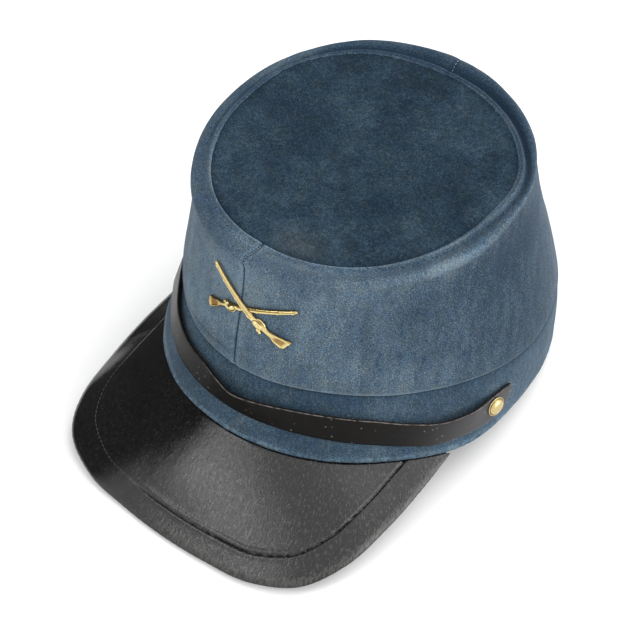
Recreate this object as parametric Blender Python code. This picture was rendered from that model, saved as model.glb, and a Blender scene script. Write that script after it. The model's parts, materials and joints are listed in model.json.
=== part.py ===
"""Kepi cap: a suede crown of two sides and a sunk top on a suede band, a drooping leather peak,
a chin strap held by two brass buttons, and a brass badge of two crossed rifles.

The cap is drawn level on its band, front towards -Y, wearer's left towards +X, and then tipped back
until it rests as it would on a table: on the peak's front edge and the back of the band.
"""
from collections import namedtuple
from math import atan2, cos, degrees, pi, radians, sin, sqrt

import bmesh
import bpy
import numpy as np
from mathutils import Matrix, Vector

# ---------------------------------------------------------------- driving dimensions (metres, degrees)

# Horizontal outlines of the cap, from the head opening up to the disc. Half sizes are to the outside.
Ring = namedtuple("Ring", "half_width half_length centre_y height tilt roundness narrowing saddle lobes")
HEAD_EDGE = Ring(0.0850, 0.1030, 0.0000, 0.0005, 0.0, 2.087, -0.005, 0.00125, 0.0)
CROWN_SEAM = Ring(0.0837, 0.0990, 0.0029, 0.0311, -0.7, 1.876, -0.024, 0.0021, 0.0012)
RIDGE = Ring(0.0729, 0.0755, -0.0224, 0.1060, 12.0, 2.000, 0.089, 0.0024, 0.0)
DISC_SEAM = Ring(0.0648, 0.0651, -0.0213, 0.1070, 12.0, 2.150, 0.078, 0.0006, 0.0)

# The stiff ends of the peak push the head edge out and down at each side.
CORNER_ANGLE = 72.0
CORNER_SPREAD = 15.4
CORNER_OUT = 0.0032
CORNER_DROP = 0.0011
CORNER_FADE = 2.0           # how fast that dies away up the band

SUEDE = 0.0018              # wall of the crown
BAND_WALL = 0.0026          # suede doubled round a stiffening
PEAK_LEATHER = 0.0026
STRAP_LEATHER = 0.0014
GAP = 0.0003                # between pieces that touch
CENTRE_SEAM_GAP = 0.003     # radians that each side of the crown stops short of the centre line

CREASE = 0.0010             # how far the crown and the band turn in where they are sewn together
CREASE_ROLL = 0.0012        # height over which they turn
OVERHANG = 0.0006           # how far the crown swells out over the band
OVERHANG_AT = 0.0060        # height of that swell above the seam
FULLNESS = 0.0008           # the sides are this much full low down and hollow under the ridge
BAND_SWELL = 0.0005
EDGE_ROUNDING = 0.0008      # how much the band's head edge is rounded, outside
EDGE_THINNING = 0.0016      # and inside

FOLD_REACH = 0.0042         # how far the rounded ridge reaches down the side and in over the rim
RIM_DIP = 0.0011            # valley between the ridge and the disc seam
RIM_DIP_VARIES = 0.0008     # deeper behind the wearer's left
RIM_DIP_SIDE = 135.0
DISC_SUNK = 0.0008
DISC_SAG = 0.0012

PEAK_END = 66.0             # the peak is sewn to the band from minus to plus this angle
PEAK_TUCK = 0.0020          # how far it reaches under the band
PEAK_GAP = 0.0005           # between the peak and the band's edge
PEAK_ARCH = 0.0020          # how far its middle rises over a straight line from band to edge
PEAK_FRONT_LEAN = 40.0      # its slope at the front edge
PeakEdge = namedtuple("PeakEdge", "half_width forward drop")
PEAK_EDGE = (
    PeakEdge(0.0000, 0.1420, 0.0365),
    PeakEdge(0.0235, 0.1410, 0.0360),
    PeakEdge(0.0465, 0.1380, 0.0345),
    PeakEdge(0.0670, 0.1280, 0.0300),
    PeakEdge(0.0780, 0.1090, 0.0230),
    PeakEdge(0.0815, 0.0870, 0.0155),
    PeakEdge(0.0825, 0.0650, 0.0080),
    PeakEdge(0.0820, 0.0430, 0.0010),
)

STRAP_WIDTH = 0.0126
STRAP_END = 85.0            # the strap reaches this far round on each side
STRAP_TIP = 0.0062          # length over which each end narrows
STRAP_TIP_WIDTH = 0.50      # share of the width left at the very end
STRAP_TIP_HEIGHT = 0.72     # the ends narrow towards this share of the way up
StrapAt = namedtuple("StrapAt", "angle low_edge low_gap high_gap")
STRAP = (
    StrapAt(-90.0, 0.0068, 0.0005, 0.0009),
    StrapAt(-77.0, 0.0071, 0.0005, 0.0010),
    StrapAt(-66.0, 0.0091, 0.0004, 0.0009),
    StrapAt(-57.0, 0.0149, 0.0004, 0.0007),
    StrapAt(-49.0, 0.0200, 0.0004, 0.0006),
    StrapAt(-42.0, 0.0200, 0.0004, 0.0009),
    StrapAt(-33.0, 0.0184, 0.0006, 0.0018),
    StrapAt(-24.0, 0.0168, 0.0006, 0.0021),
    StrapAt(-10.0, 0.0163, 0.0007, 0.0025),
    StrapAt(-3.0, 0.0162, 0.0006, 0.0043),
    StrapAt(3.0, 0.0160, 0.0006, 0.0060),
    StrapAt(12.0, 0.0157, 0.0007, 0.0050),
    StrapAt(20.0, 0.0150, 0.0007, 0.0036),
    StrapAt(30.0, 0.0138, 0.0007, 0.0029),
    StrapAt(42.0, 0.0115, 0.0007, 0.0025),
    StrapAt(50.0, 0.0095, 0.0007, 0.0034),
    StrapAt(60.0, 0.0068, 0.0008, 0.0040),
    StrapAt(70.0, 0.0069, 0.0008, 0.0040),
    StrapAt(77.0, 0.0069, 0.0008, 0.0020),
    StrapAt(83.0, 0.0069, 0.0008, 0.0009),
    StrapAt(90.0, 0.0072, 0.0008, 0.0009),
)

BUTTON_ANGLE = 78.4
BUTTON_RISE = 0.0013        # above the middle of the strap
BUTTON_STAND = 0.0006       # off its curved face
BUTTON_RADIUS = 0.0047
BUTTON_RIM = 0.0006         # thickness of the flat rim
BUTTON_STEP = 0.0006        # width of the rim outside the dome
BUTTON_DOME = 0.0017        # height of the dome
BUTTON_ROUNDING = 0.0003    # of the rim's back edge

RIFLE_LENGTH = 0.0448
RIFLE_RELIEF = 0.0019       # thickness of the thickest part
RIFLE_CLEAR = 0.0005        # between the badge's back and the suede
BADGE_ANGLE = 3.0           # where the barrels cross, round from the front seam
BADGE_SHARE = 0.585         # and up the side, as a share of the way from seam to ridge
Rifle = namedtuple("Rifle", "slope from_butt lift")
RIFLE_OVER = Rifle(145.5, 0.0209, 0.0007)       # muzzle up to the wearer's right
RIFLE_UNDER = Rifle(18.0, 0.0218, 0.0000)       # muzzle up to the wearer's left
Station = namedtuple("Station", "along offset half_width depth")
RIFLE_STATIONS = (
    Station(0.000, -0.00190, 0.00245, 0.75),
    Station(0.012, -0.00185, 0.00250, 0.85),
    Station(0.090, -0.00125, 0.00190, 0.85),
    Station(0.190, -0.00045, 0.00115, 0.75),
    Station(0.245, -0.00040, 0.00160, 0.80),
    Station(0.285, -0.00060, 0.00215, 0.95),
    Station(0.345, -0.00050, 0.00200, 1.00),
    Station(0.385, -0.00015, 0.00130, 0.90),
    Station(0.600, 0.00000, 0.00115, 0.80),
    Station(0.800, 0.00000, 0.00105, 0.75),
    Station(0.825, 0.00000, 0.00120, 0.85),
    Station(0.850, 0.00000, 0.00095, 0.70),
    Station(0.985, 0.00000, 0.00085, 0.65),
    Station(1.000, 0.00000, 0.00060, 0.50),
)

# Rows of each wall, as shares of the way across it.
SIDE_ROWS = (0.0, 0.018, 0.045, 0.10, 0.20, 0.34, 0.50, 0.66, 0.82, 0.93, 1.0)
FOLD_ROWS = (0.25, 0.50, 0.75, 1.0)
RIM_ROWS = (0.35, 0.70, 1.0)
TOP_ROWS = (1.0, 0.97, 0.88, 0.70, 0.45, 0.20)
PEAK_ROWS = (0.0, 0.12, 0.30, 0.50, 0.70, 0.86, 0.95, 1.0)
BandRow = namedtuple("BandRow", "share turned_in")
BAND_ROWS = (
    BandRow(0.000, EDGE_ROUNDING),
    BandRow(0.035, 0.0),
    BandRow(0.220, 0.0),
    BandRow(0.500, 0.0),
    BandRow(0.780, 0.0),
    BandRow(0.930, 0.30 * CREASE),
    BandRow(0.975, 0.60 * CREASE),
    BandRow(1.000, CREASE),
)
STRAP_TIP_ROWS = (0.0, 0.4, 0.7)
DOME_ROWS = (15.0, 35.0, 55.0, 75.0)    # degrees up the button's dome

# How finely the faceted pieces are divided.
HALF_STEPS = 32             # columns in each side of the crown
ROUND_STEPS = 66            # columns round the band and the disc
PEAK_STEPS = 36
PEAK_STEADY = 3             # its two end columns face the way that this column does
STRAP_STEPS = 64
BUTTON_STEPS = 20
RIFLE_SIDES = 8

# Colour (linear), roughness, metallic.
SUEDE_BLUE = ((0.055, 0.105, 0.165, 1.0), 0.95, 0.0)
LEATHER_BLACK = ((0.016, 0.015, 0.015, 1.0), 0.42, 0.0)
BRASS = ((0.80, 0.58, 0.24, 1.0), 0.25, 1.0)


# ---------------------------------------------------------------- points on the cap

def signed_power(value, exponent):
    """Power that keeps the sign, for superellipses."""
    return np.sign(value) * np.abs(value) ** exponent


def ring_points(ring, angle):
    """Points of a ring at angles (radians) measured from the front, positive to the wearer's left."""
    angle = np.asarray(angle, float)
    across = np.sin(angle)
    back = -np.cos(angle)
    exponent = 2.0 / ring.roundness
    x = ring.half_width * signed_power(across, exponent) * (1.0 + ring.narrowing * back)
    y = ring.half_length * signed_power(back, exponent)
    z = ring.saddle * np.cos(2.0 * angle)
    tilt = radians(ring.tilt)
    points = np.stack([x, y * cos(tilt) - z * sin(tilt), y * sin(tilt) + z * cos(tilt)], axis=-1)
    points += np.array([0.0, ring.centre_y, ring.height])
    flat = points[..., :2]
    out = flat / np.linalg.norm(flat, axis=-1, keepdims=True)
    points[..., :2] += out * (ring.lobes * np.cos(3.0 * angle))[..., None]
    return points


def outward(ring, angle):
    """Horizontal direction square to a ring, pointing away from the head."""
    step = 0.001
    along = ring_points(ring, angle + step) - ring_points(ring, angle - step)
    normal = np.stack([along[..., 1], -along[..., 0], np.zeros(along.shape[:-1])], axis=-1)
    return normal / np.linalg.norm(normal, axis=-1, keepdims=True)


def corner_push(angle):
    """How far the ends of the peak push the head edge out and down."""
    angle = np.asarray(angle, float)
    turned = np.abs(np.degrees(np.arctan2(np.sin(angle), np.cos(angle))))
    near = np.exp(-((turned - CORNER_ANGLE) / CORNER_SPREAD) ** 2)
    push = outward(HEAD_EDGE, angle) * (CORNER_OUT * near)[..., None]
    push[..., 2] = -CORNER_DROP * near
    return push


def head_edge(angle):
    """Lower edge of the band, outside."""
    return ring_points(HEAD_EDGE, angle) + corner_push(angle)


def side_points(angle, share):
    """Outside of the crown's side: share 0 is the seam with the band, 1 is the ridge."""
    low = ring_points(CROWN_SEAM, angle)
    high = ring_points(RIDGE, angle)
    share = np.asarray(share, float) * np.ones(low.shape[:-1])
    height = share * np.linalg.norm(high - low, axis=-1)
    turned_in = CREASE * np.exp(-height / CREASE_ROLL)
    swell = OVERHANG * (height / OVERHANG_AT) * np.exp(1.0 - height / OVERHANG_AT)
    out = FULLNESS * np.sin(2.0 * pi * share) + swell - turned_in
    return low + (high - low) * share[..., None] + outward(CROWN_SEAM, angle) * out[..., None]


def band_points(angle, share, stand_off=0.0):
    """Outside of the band, or that far off it: share 0 is the head edge, 1 is the seam."""
    low = ring_points(HEAD_EDGE, angle)
    high = ring_points(CROWN_SEAM, angle)
    share = np.asarray(share, float) * np.ones(low.shape[:-1])
    out = BAND_SWELL * np.sin(pi * share) + stand_off
    push = corner_push(angle) * ((1.0 - share) ** CORNER_FADE)[..., None]
    return low + (high - low) * share[..., None] + push + outward(CROWN_SEAM, angle) * out[..., None]


def band_share(angle, height):
    """Share of the way up the band at a height."""
    low = ring_points(HEAD_EDGE, angle)[..., 2]
    high = ring_points(CROWN_SEAM, angle)[..., 2]
    return (height - low) / (high - low)


def smooth(column, table, key, value):
    """Value of one column of a table at a key, on a smooth curve through the rows."""
    keys = [getattr(row, column) for row in table]
    values = [getattr(row, value) for row in table]
    last = len(keys) - 2
    place = min(max(int(np.searchsorted(keys, key, side="right")) - 1, 0), last)
    share = (key - keys[place]) / (keys[place + 1] - keys[place])
    before = values[place - 1] if place > 0 else 2.0 * values[0] - values[1]
    after = values[place + 2] if place < last else 2.0 * values[-1] - values[-2]
    return catmull_rom(before, values[place], values[place + 1], after, share)


def catmull_rom(before, start, end, after, share):
    """Smooth curve from start to end, which also heads for its neighbours."""
    return 0.5 * (2.0 * start + (end - before) * share
                  + (2.0 * before - 5.0 * start + 4.0 * end - after) * share ** 2
                  + (3.0 * start - before - 3.0 * end + after) * share ** 3)


# ---------------------------------------------------------------- closed bodies from grids of points

def grid_normals(grid, wraps):
    """Unit normals of a grid of points[row, column], from its neighbours."""
    down = np.gradient(grid, axis=0)
    if wraps:
        across = np.roll(grid, -1, axis=1) - np.roll(grid, 1, axis=1)
    else:
        across = np.gradient(grid, axis=1)
    normal = np.cross(across, down)
    return normal / np.linalg.norm(normal, axis=-1, keepdims=True)


def closed_shell(outer, inner, wraps):
    """Mesh data of a wall between two grids of the same shape."""
    rows, columns = outer.shape[:2]
    count = rows * columns
    faces = []

    def outside(row, column):
        return row * columns + column % columns

    def inside(row, column):
        return count + outside(row, column)

    for row in range(rows - 1):
        for column in range(columns if wraps else columns - 1):
            corners = ((row, column), (row, column + 1), (row + 1, column + 1), (row + 1, column))
            faces.append([outside(*corner) for corner in corners])
            faces.append([inside(*corner) for corner in reversed(corners)])
    for row, turn in ((0, 1), (rows - 1, -1)):
        for column in range(columns if wraps else columns - 1):
            strip = [outside(row, column + 1), outside(row, column),
                     inside(row, column), inside(row, column + 1)]
            faces.append(strip[::turn])
    if not wraps:
        for column, turn in ((0, 1), (columns - 1, -1)):
            for row in range(rows - 1):
                strip = [outside(row, column), outside(row + 1, column),
                         inside(row + 1, column), inside(row, column)]
                faces.append(strip[::turn])
    points = np.concatenate([outer.reshape(-1, 3), inner.reshape(-1, 3)])
    return points, faces


def tube(sections):
    """Mesh data of a closed tube through sections of points[section, side]."""
    count, sides = sections.shape[:2]
    faces = [list(range(sides))[::-1], [(count - 1) * sides + side for side in range(sides)]]
    for section in range(count - 1):
        for side in range(sides):
            after = (side + 1) % sides
            faces.append([section * sides + side, section * sides + after,
                          (section + 1) * sides + after, (section + 1) * sides + side])
    return sections.reshape(-1, 3), faces


def make_piece(name, mesh_data, material, parent, sharp_angle=40.0):
    """Object from mesh data, with its faces turned out and its round sides shaded smooth."""
    points, faces = mesh_data
    mesh = bpy.data.meshes.new(name)
    mesh.from_pydata([tuple(point) for point in points], [], faces)
    work = bmesh.new()
    work.from_mesh(mesh)
    bmesh.ops.recalc_face_normals(work, faces=work.faces)
    work.to_mesh(mesh)
    work.free()
    mesh.shade_smooth()
    mesh.set_sharp_from_angle(angle=radians(sharp_angle))
    piece = bpy.data.objects.new(name, mesh)
    bpy.context.collection.objects.link(piece)
    piece.parent = parent
    if material is not None:
        piece.data.materials.append(material)
    return piece


def make_material(name, look):
    """Principled material with a plain colour, roughness and metallic value."""
    colour, roughness, metallic = look
    material = bpy.data.materials.new(name)
    material.use_nodes = True
    shader = material.node_tree.nodes["Principled BSDF"]
    shader.inputs["Base Color"].default_value = colour
    shader.inputs["Roughness"].default_value = roughness
    shader.inputs["Metallic"].default_value = metallic
    return material


# ---------------------------------------------------------------- crown

def fold_points(angle):
    """Rounded ridge and dipped rim, from the side's top row to the disc seam."""
    ridge = ring_points(RIDGE, angle)
    seam = ring_points(CROWN_SEAM, angle)
    disc = ring_points(DISC_SEAM, angle)
    side_way = (seam - ridge) / np.linalg.norm(seam - ridge, axis=-1, keepdims=True)
    rim = np.linalg.norm(disc - ridge, axis=-1, keepdims=True)
    start = ridge + side_way * FOLD_REACH
    end = ridge + (disc - ridge) / rim * np.minimum(FOLD_REACH, 0.45 * rim)
    corner = 2.0 * ridge - 0.5 * (start + end)
    rows = []
    for share in FOLD_ROWS:
        rows.append(start * (1 - share) ** 2 + corner * 2 * share * (1 - share) + end * share ** 2)
    up = np.array([0.0, -sin(radians(RIDGE.tilt)), cos(radians(RIDGE.tilt))])
    dip = RIM_DIP + RIM_DIP_VARIES * np.cos(angle - radians(RIM_DIP_SIDE))
    for share in RIM_ROWS:
        rows.append(end + (disc - end) * share - up * (dip * sin(pi * share))[..., None])
    return rows


def crown_side(name, first, last, material, parent):
    """One side of the crown, from seam to seam, sewn edge to disc seam."""
    angle = np.linspace(first, last, HALF_STEPS + 1)
    seam = ring_points(CROWN_SEAM, angle)
    ridge = ring_points(RIDGE, angle)
    top_share = 1.0 - FOLD_REACH / np.linalg.norm(ridge - seam, axis=-1)
    rows = [side_points(angle, top_share * share) for share in SIDE_ROWS]
    rows[0][:, 2] += GAP
    rows += fold_points(angle)
    outer = np.stack(rows)
    normal = grid_normals(outer, wraps=False)
    normal[-1] = [0.0, -sin(radians(RIDGE.tilt)), cos(radians(RIDGE.tilt))]
    normal[0] = outward(CROWN_SEAM, angle)
    normal[:, 0, 0] = 0.0
    normal[:, -1, 0] = 0.0
    inner = outer - normal * SUEDE
    return make_piece(name, closed_shell(outer, inner, wraps=False), material, parent)


def crown_top(material, parent):
    """The round top, a little below the rim and a little sunk in the middle."""
    angle = np.linspace(0.0, 2.0 * pi, ROUND_STEPS, endpoint=False)
    edge = ring_points(DISC_SEAM, angle)
    middle = np.array([0.0, DISC_SEAM.centre_y, DISC_SEAM.height])
    up = np.array([0.0, -sin(radians(DISC_SEAM.tilt)), cos(radians(DISC_SEAM.tilt))])
    reach = np.linalg.norm(edge - middle, axis=-1, keepdims=True)
    edge = middle + (edge - middle) * (1.0 - GAP / reach)
    rows = []
    for share in TOP_ROWS:
        sunk = DISC_SUNK + DISC_SAG * (1.0 - share ** 2)
        rows.append(middle + (edge - middle) * share - up * sunk)
    top = np.stack(rows)
    bottom = top - up * SUEDE
    count = top.shape[0] * ROUND_STEPS
    points, faces = closed_shell(top, bottom, wraps=True)
    faces = [face for face in faces if not is_inner_strip(face, count, ROUND_STEPS)]
    last_ring = count - ROUND_STEPS
    hub = middle - up * (DISC_SUNK + DISC_SAG)
    points = np.concatenate([points, [hub, hub - up * SUEDE]])
    for column in range(ROUND_STEPS):
        after = (column + 1) % ROUND_STEPS
        faces.append([last_ring + column, last_ring + after, 2 * count])
        faces.append([count + last_ring + after, count + last_ring + column, 2 * count + 1])
    return make_piece("crown_top", (points, faces), material, parent)


def is_inner_strip(face, count, columns):
    """True for the faces that would line the hole in the middle of the disc."""
    last_ring = count - columns
    on_top = [index for index in face if last_ring <= index < count]
    below = [index for index in face if count + last_ring <= index]
    return len(on_top) == 2 and len(below) == 2


# ---------------------------------------------------------------- band, peak, strap

def band(material, parent):
    """The upright band, turned in at its top and rounded at the head edge."""
    angle = np.linspace(0.0, 2.0 * pi, ROUND_STEPS, endpoint=False)
    rows = [band_points(angle, row.share, -row.turned_in) for row in BAND_ROWS]
    outer = np.stack(rows)
    outer[-1, :, 2] -= GAP
    inner = outer - outward(CROWN_SEAM, angle) * BAND_WALL
    inner[0] += outward(CROWN_SEAM, angle) * EDGE_THINNING
    return make_piece("band", closed_shell(outer, inner, wraps=True), material, parent)


def peak_edge(place):
    """Point of the peak's outer edge; place runs from -1 at the wearer's right end to 1."""
    last = len(PEAK_EDGE) - 1
    along = min(abs(place) * last, last - 1e-9)
    row = int(along)
    near = [edge_row(row + step) for step in (-1, 0, 1, 2)]
    point = catmull_rom(*near, along - row)
    return point * np.array([np.sign(place) if place else 1.0, 1.0, 1.0])


def edge_row(row):
    """Row of the peak's edge table as a point, mirrored or carried on past its ends."""
    last = len(PEAK_EDGE) - 1
    if row > last:
        return 2.0 * edge_row(last) - edge_row(2 * last - row)
    edge = PEAK_EDGE[abs(row)]
    return np.array([edge.half_width if row >= 0 else -edge.half_width, -edge.forward, -edge.drop])


def peak_points(place, share):
    """Upper face of the peak: share 0 at the band, 1 at its outer edge."""
    angle = np.array(radians(PEAK_END) * place)
    sewn = head_edge(angle) - np.array([0.0, 0.0, PEAK_GAP])
    edge = peak_edge(place)
    return sewn + (edge - sewn) * share + np.array([0.0, 0.0, PEAK_ARCH * sin(pi * share)])


def peak(material, parent):
    """The leather peak, tucked under the band and drooping to its front edge."""
    columns = []
    for place in np.linspace(-1.0, 1.0, PEAK_STEPS + 1):
        angle = np.array(radians(PEAK_END) * place)
        tucked = peak_points(place, 0.0) - outward(HEAD_EDGE, angle) * PEAK_TUCK
        columns.append([tucked] + [peak_points(place, share) for share in PEAK_ROWS])
    outer = np.stack([np.stack(column) for column in columns], axis=1)
    normal = grid_normals(outer, wraps=False)
    normal *= np.sign(normal[..., 2:3])
    normal[:, 0] = normal[:, PEAK_STEADY]
    normal[:, -1] = normal[:, -1 - PEAK_STEADY]
    normal[0] = [0.0, 0.0, 1.0]
    inner = outer - normal * PEAK_LEATHER
    return make_piece("peak", closed_shell(outer, inner, wraps=False), material, parent)


def strap_frame(angle_deg):
    """Low and high edge of the strap's back, and its outward face direction, at an angle."""
    low_edge = smooth("angle", STRAP, angle_deg, "low_edge")
    low_gap = smooth("angle", STRAP, angle_deg, "low_gap")
    high_gap = smooth("angle", STRAP, angle_deg, "high_gap")
    rise = sqrt(STRAP_WIDTH ** 2 - (high_gap - low_gap) ** 2)
    angle = np.array(radians(angle_deg))
    low = band_points(angle, band_share(angle, low_edge), low_gap)
    high = band_points(angle, band_share(angle, low_edge + rise), high_gap)
    along = np.cross([0.0, 0.0, 1.0], outward(CROWN_SEAM, angle))
    face = np.cross(along, high - low)
    return low, high, face / np.linalg.norm(face)


def strap_taper(from_tip):
    """Share of the full width at a distance from the strap's tip."""
    share = min(from_tip / STRAP_TIP, 1.0)
    return max(sqrt(1.0 - (1.0 - share) ** 2), STRAP_TIP_WIDTH)


def chin_strap(material, parent):
    """The strap across the front, slack and leaning out where it has come away from the band."""
    radius = 0.5 * (HEAD_EDGE.half_width + HEAD_EDGE.half_length)
    narrowing = degrees(STRAP_TIP / radius)
    tip_angles = [STRAP_END - narrowing * share ** 2 for share in STRAP_TIP_ROWS]
    middle_angles = np.linspace(-STRAP_END + narrowing, STRAP_END - narrowing, STRAP_STEPS)
    angles = [-angle for angle in tip_angles] + list(middle_angles) + tip_angles[::-1]
    sections = []
    for angle_deg in angles:
        low, high, face = strap_frame(angle_deg)
        width = strap_taper(radians(STRAP_END - abs(angle_deg)) * radius)
        tip = low + (high - low) * STRAP_TIP_HEIGHT
        low = tip + (low - tip) * width
        high = tip + (high - tip) * width
        out = face * STRAP_LEATHER
        sections.append(np.stack([low, high, high + out, low + out]))
    return make_piece("chin_strap", tube(np.stack(sections)), material, parent)


# ---------------------------------------------------------------- brass

def button(name, side, material, parent):
    """Domed button on the strap's face, close to its end."""
    low, high, face = strap_frame(side * BUTTON_ANGLE)
    dome_radius = BUTTON_RADIUS - BUTTON_STEP
    profile = [
        (BUTTON_RADIUS - BUTTON_ROUNDING, 0.0),
        (BUTTON_RADIUS, 0.4 * BUTTON_RIM),
        (BUTTON_RADIUS, BUTTON_RIM),
        (dome_radius, BUTTON_RIM),
    ]
    for up in DOME_ROWS:
        profile.append((dome_radius * cos(radians(up)), BUTTON_RIM + BUTTON_DOME * sin(radians(up))))
    turn = np.linspace(0.0, 2.0 * pi, BUTTON_STEPS, endpoint=False)
    rings = [np.stack([radius * np.cos(turn), radius * np.sin(turn), np.full_like(turn, height)], axis=-1)
             for radius, height in profile]
    width_way = (high - low) / np.linalg.norm(high - low)
    place = 0.5 * (low + high) + width_way * BUTTON_RISE + face * (STRAP_LEATHER + BUTTON_STAND)
    piece = make_piece(name, tube(np.stack(rings)), material, parent, sharp_angle=50.0)
    facing = Vector(face).to_track_quat("Z", "Y").to_matrix().to_4x4()
    piece.matrix_local = Matrix.Translation(Vector(place)) @ facing
    return piece


def badge_point(across, up, height):
    """Point over the front of the crown: across and up in metres from where the barrels cross."""
    centre = radians(BADGE_ANGLE)
    seam = ring_points(CROWN_SEAM, np.array(centre))
    ridge = ring_points(RIDGE, np.array(centre))
    rise = np.linalg.norm(ridge - seam)
    step = 0.01
    level = side_points(np.array([centre - step, centre + step]), BADGE_SHARE)
    metres_per_radian = np.linalg.norm(level[1] - level[0]) / (2.0 * step)
    angle = np.array(centre + across / metres_per_radian)
    point = side_points(angle, BADGE_SHARE + up / rise)
    return point + outward(RIDGE, angle) * height


def rifle_sections(rifle):
    """Sections of one rifle from butt to muzzle, bent to lie over the crown."""
    slope = radians(rifle.slope)
    sections = []
    for station in RIFLE_STATIONS:
        along = station.along * RIFLE_LENGTH - rifle.from_butt
        section = []
        for side in range(RIFLE_SIDES):
            turn = 2.0 * pi * (side + 0.5) / RIFLE_SIDES
            aside = station.offset + station.half_width * cos(turn)
            depth = 0.5 * RIFLE_RELIEF * station.depth
            height = RIFLE_CLEAR + rifle.lift + depth * (1.0 + sin(turn))
            across = along * cos(slope) - aside * sin(slope)
            up = along * sin(slope) + aside * cos(slope)
            section.append(badge_point(across, up, height))
        sections.append(np.stack(section))
    return np.stack(sections)


def crossed_rifles(material, parent):
    """Two rifles soldered where they cross, one over the other."""
    under = make_piece("rifle_under_cutter", tube(rifle_sections(RIFLE_UNDER)), material, parent)
    under.hide_render = True
    under.display_type = "WIRE"
    badge = make_piece("crossed_rifles_badge", tube(rifle_sections(RIFLE_OVER)), material, parent)
    union = badge.modifiers.new("solder", "BOOLEAN")
    union.operation = "UNION"
    union.solver = "EXACT"
    union.object = under
    return badge


# ---------------------------------------------------------------- the cap at rest

def resting_tip():
    """Angle that sets the cap on the peak's front edge and the back of the band."""
    underside = np.array([0.0, 0.0, PEAK_LEATHER * cos(radians(PEAK_FRONT_LEAN))])
    front = peak_points(0.0, 1.0) - underside
    back = head_edge(pi)
    return -atan2(back[2] - front[2], back[1] - front[1])


def stand_on_floor(cap):
    """Set the cap down on z = 0, with its length centred on the origin."""
    bpy.context.view_layer.update()
    points = [piece.matrix_world @ vertex.co for piece in cap.children for vertex in piece.data.vertices]
    length = [point.y for point in points]
    cap.location.y -= 0.5 * (min(length) + max(length))
    cap.location.z -= min(point.z for point in points)


def build_cap():
    for old in list(bpy.data.objects):
        bpy.data.objects.remove(old, do_unlink=True)
    suede_side = make_material("blue_suede_sides", SUEDE_BLUE)
    suede_top = make_material("blue_suede_top", SUEDE_BLUE)
    suede_band = make_material("blue_suede_band", SUEDE_BLUE)
    peak_leather = make_material("black_peak_leather", LEATHER_BLACK)
    strap_leather = make_material("black_strap_leather", LEATHER_BLACK)
    button_brass = make_material("button_brass", BRASS)
    badge_brass = make_material("badge_brass", BRASS)

    cap = bpy.data.objects.new("cap_at_rest", None)
    bpy.context.collection.objects.link(cap)
    cap.rotation_euler = (resting_tip(), 0.0, 0.0)

    crown_side("crown_side_left", CENTRE_SEAM_GAP, pi - CENTRE_SEAM_GAP, suede_side, cap)
    crown_side("crown_side_right", -pi + CENTRE_SEAM_GAP, -CENTRE_SEAM_GAP, suede_side, cap)
    crown_top(suede_top, cap)
    band(suede_band, cap)
    peak(peak_leather, cap)
    chin_strap(strap_leather, cap)
    button("button_left", 1.0, button_brass, cap)
    button("button_right", -1.0, button_brass, cap)
    crossed_rifles(badge_brass, cap)
    stand_on_floor(cap)


build_cap()
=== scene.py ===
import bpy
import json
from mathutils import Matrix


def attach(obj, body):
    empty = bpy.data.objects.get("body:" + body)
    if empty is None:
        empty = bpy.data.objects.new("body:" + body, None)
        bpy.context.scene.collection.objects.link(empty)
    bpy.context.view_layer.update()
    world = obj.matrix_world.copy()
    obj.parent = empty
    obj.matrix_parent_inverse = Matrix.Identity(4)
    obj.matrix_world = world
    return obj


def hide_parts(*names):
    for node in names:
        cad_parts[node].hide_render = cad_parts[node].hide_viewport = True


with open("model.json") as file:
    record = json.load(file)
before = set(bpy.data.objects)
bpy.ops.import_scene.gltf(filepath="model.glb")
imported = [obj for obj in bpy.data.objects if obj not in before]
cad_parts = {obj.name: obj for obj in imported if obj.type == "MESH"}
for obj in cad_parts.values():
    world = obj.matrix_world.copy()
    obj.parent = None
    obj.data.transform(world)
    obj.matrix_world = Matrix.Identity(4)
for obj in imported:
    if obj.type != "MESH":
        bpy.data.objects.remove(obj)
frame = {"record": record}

"""The kepi cap dressed for its picture: napped suede, grained leather, stitches and cast brass.

Every piece is drawn level in the cap's own frame, front towards -Y and wearer's left towards +X, on the
same outlines as the solids but more finely. The record's head opening then says where it stands.
Lengths are metres. Angles run from the front, positive to the wearer's left: "angle" is in radians, and
"turned" and the named angles are in degrees.
"""
import json
from collections import namedtuple
from functools import reduce
from math import asin, cos, degrees, pi, radians, sin, sqrt

import bmesh
import bpy
import numpy as np
from mathutils import Matrix, Vector, noise
from mathutils.kdtree import KDTree

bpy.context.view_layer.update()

# ---------------- where things stand

opening = next(mount for mount in frame["record"]["mounts"] if mount["name"] == "head_opening")
CAP_AT_REST = Matrix.Translation(opening["pos_m"]) @ Matrix.Rotation(asin(opening["axis"][1]), 4, "X")

CAMERA_PLACE = Vector((0.3250, -0.4113, 0.6091))
CAMERA_AIM = Vector((-0.0005, -0.0148, 0.0500))
CAMERA_ROLL = -1.02
CAMERA_LENS = 96.0          # millimetres on a 36 mm sensor

# ---------------- outlines of the cap

Ring = namedtuple("Ring", "half_width half_length centre_y height tilt roundness narrowing saddle lobes")
HEAD_EDGE = Ring(0.0850, 0.1030, 0.0000, 0.0005, 0.0, 2.087, -0.005, 0.00125, 0.0)
CROWN_SEAM = Ring(0.0837, 0.0990, 0.0029, 0.0311, -0.7, 1.876, -0.024, 0.0021, 0.0012)
RIDGE = Ring(0.0729, 0.0755, -0.0224, 0.1060, 12.0, 2.000, 0.089, 0.0024, 0.0)
DISC_SEAM = Ring(0.0648, 0.0651, -0.0213, 0.1070, 12.0, 2.150, 0.078, 0.0006, 0.0)
LEANING_UP = np.array([0.0, -sin(radians(DISC_SEAM.tilt)), cos(radians(DISC_SEAM.tilt))])
UPRIGHT = np.array([0.0, 0.0, 1.0])

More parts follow.
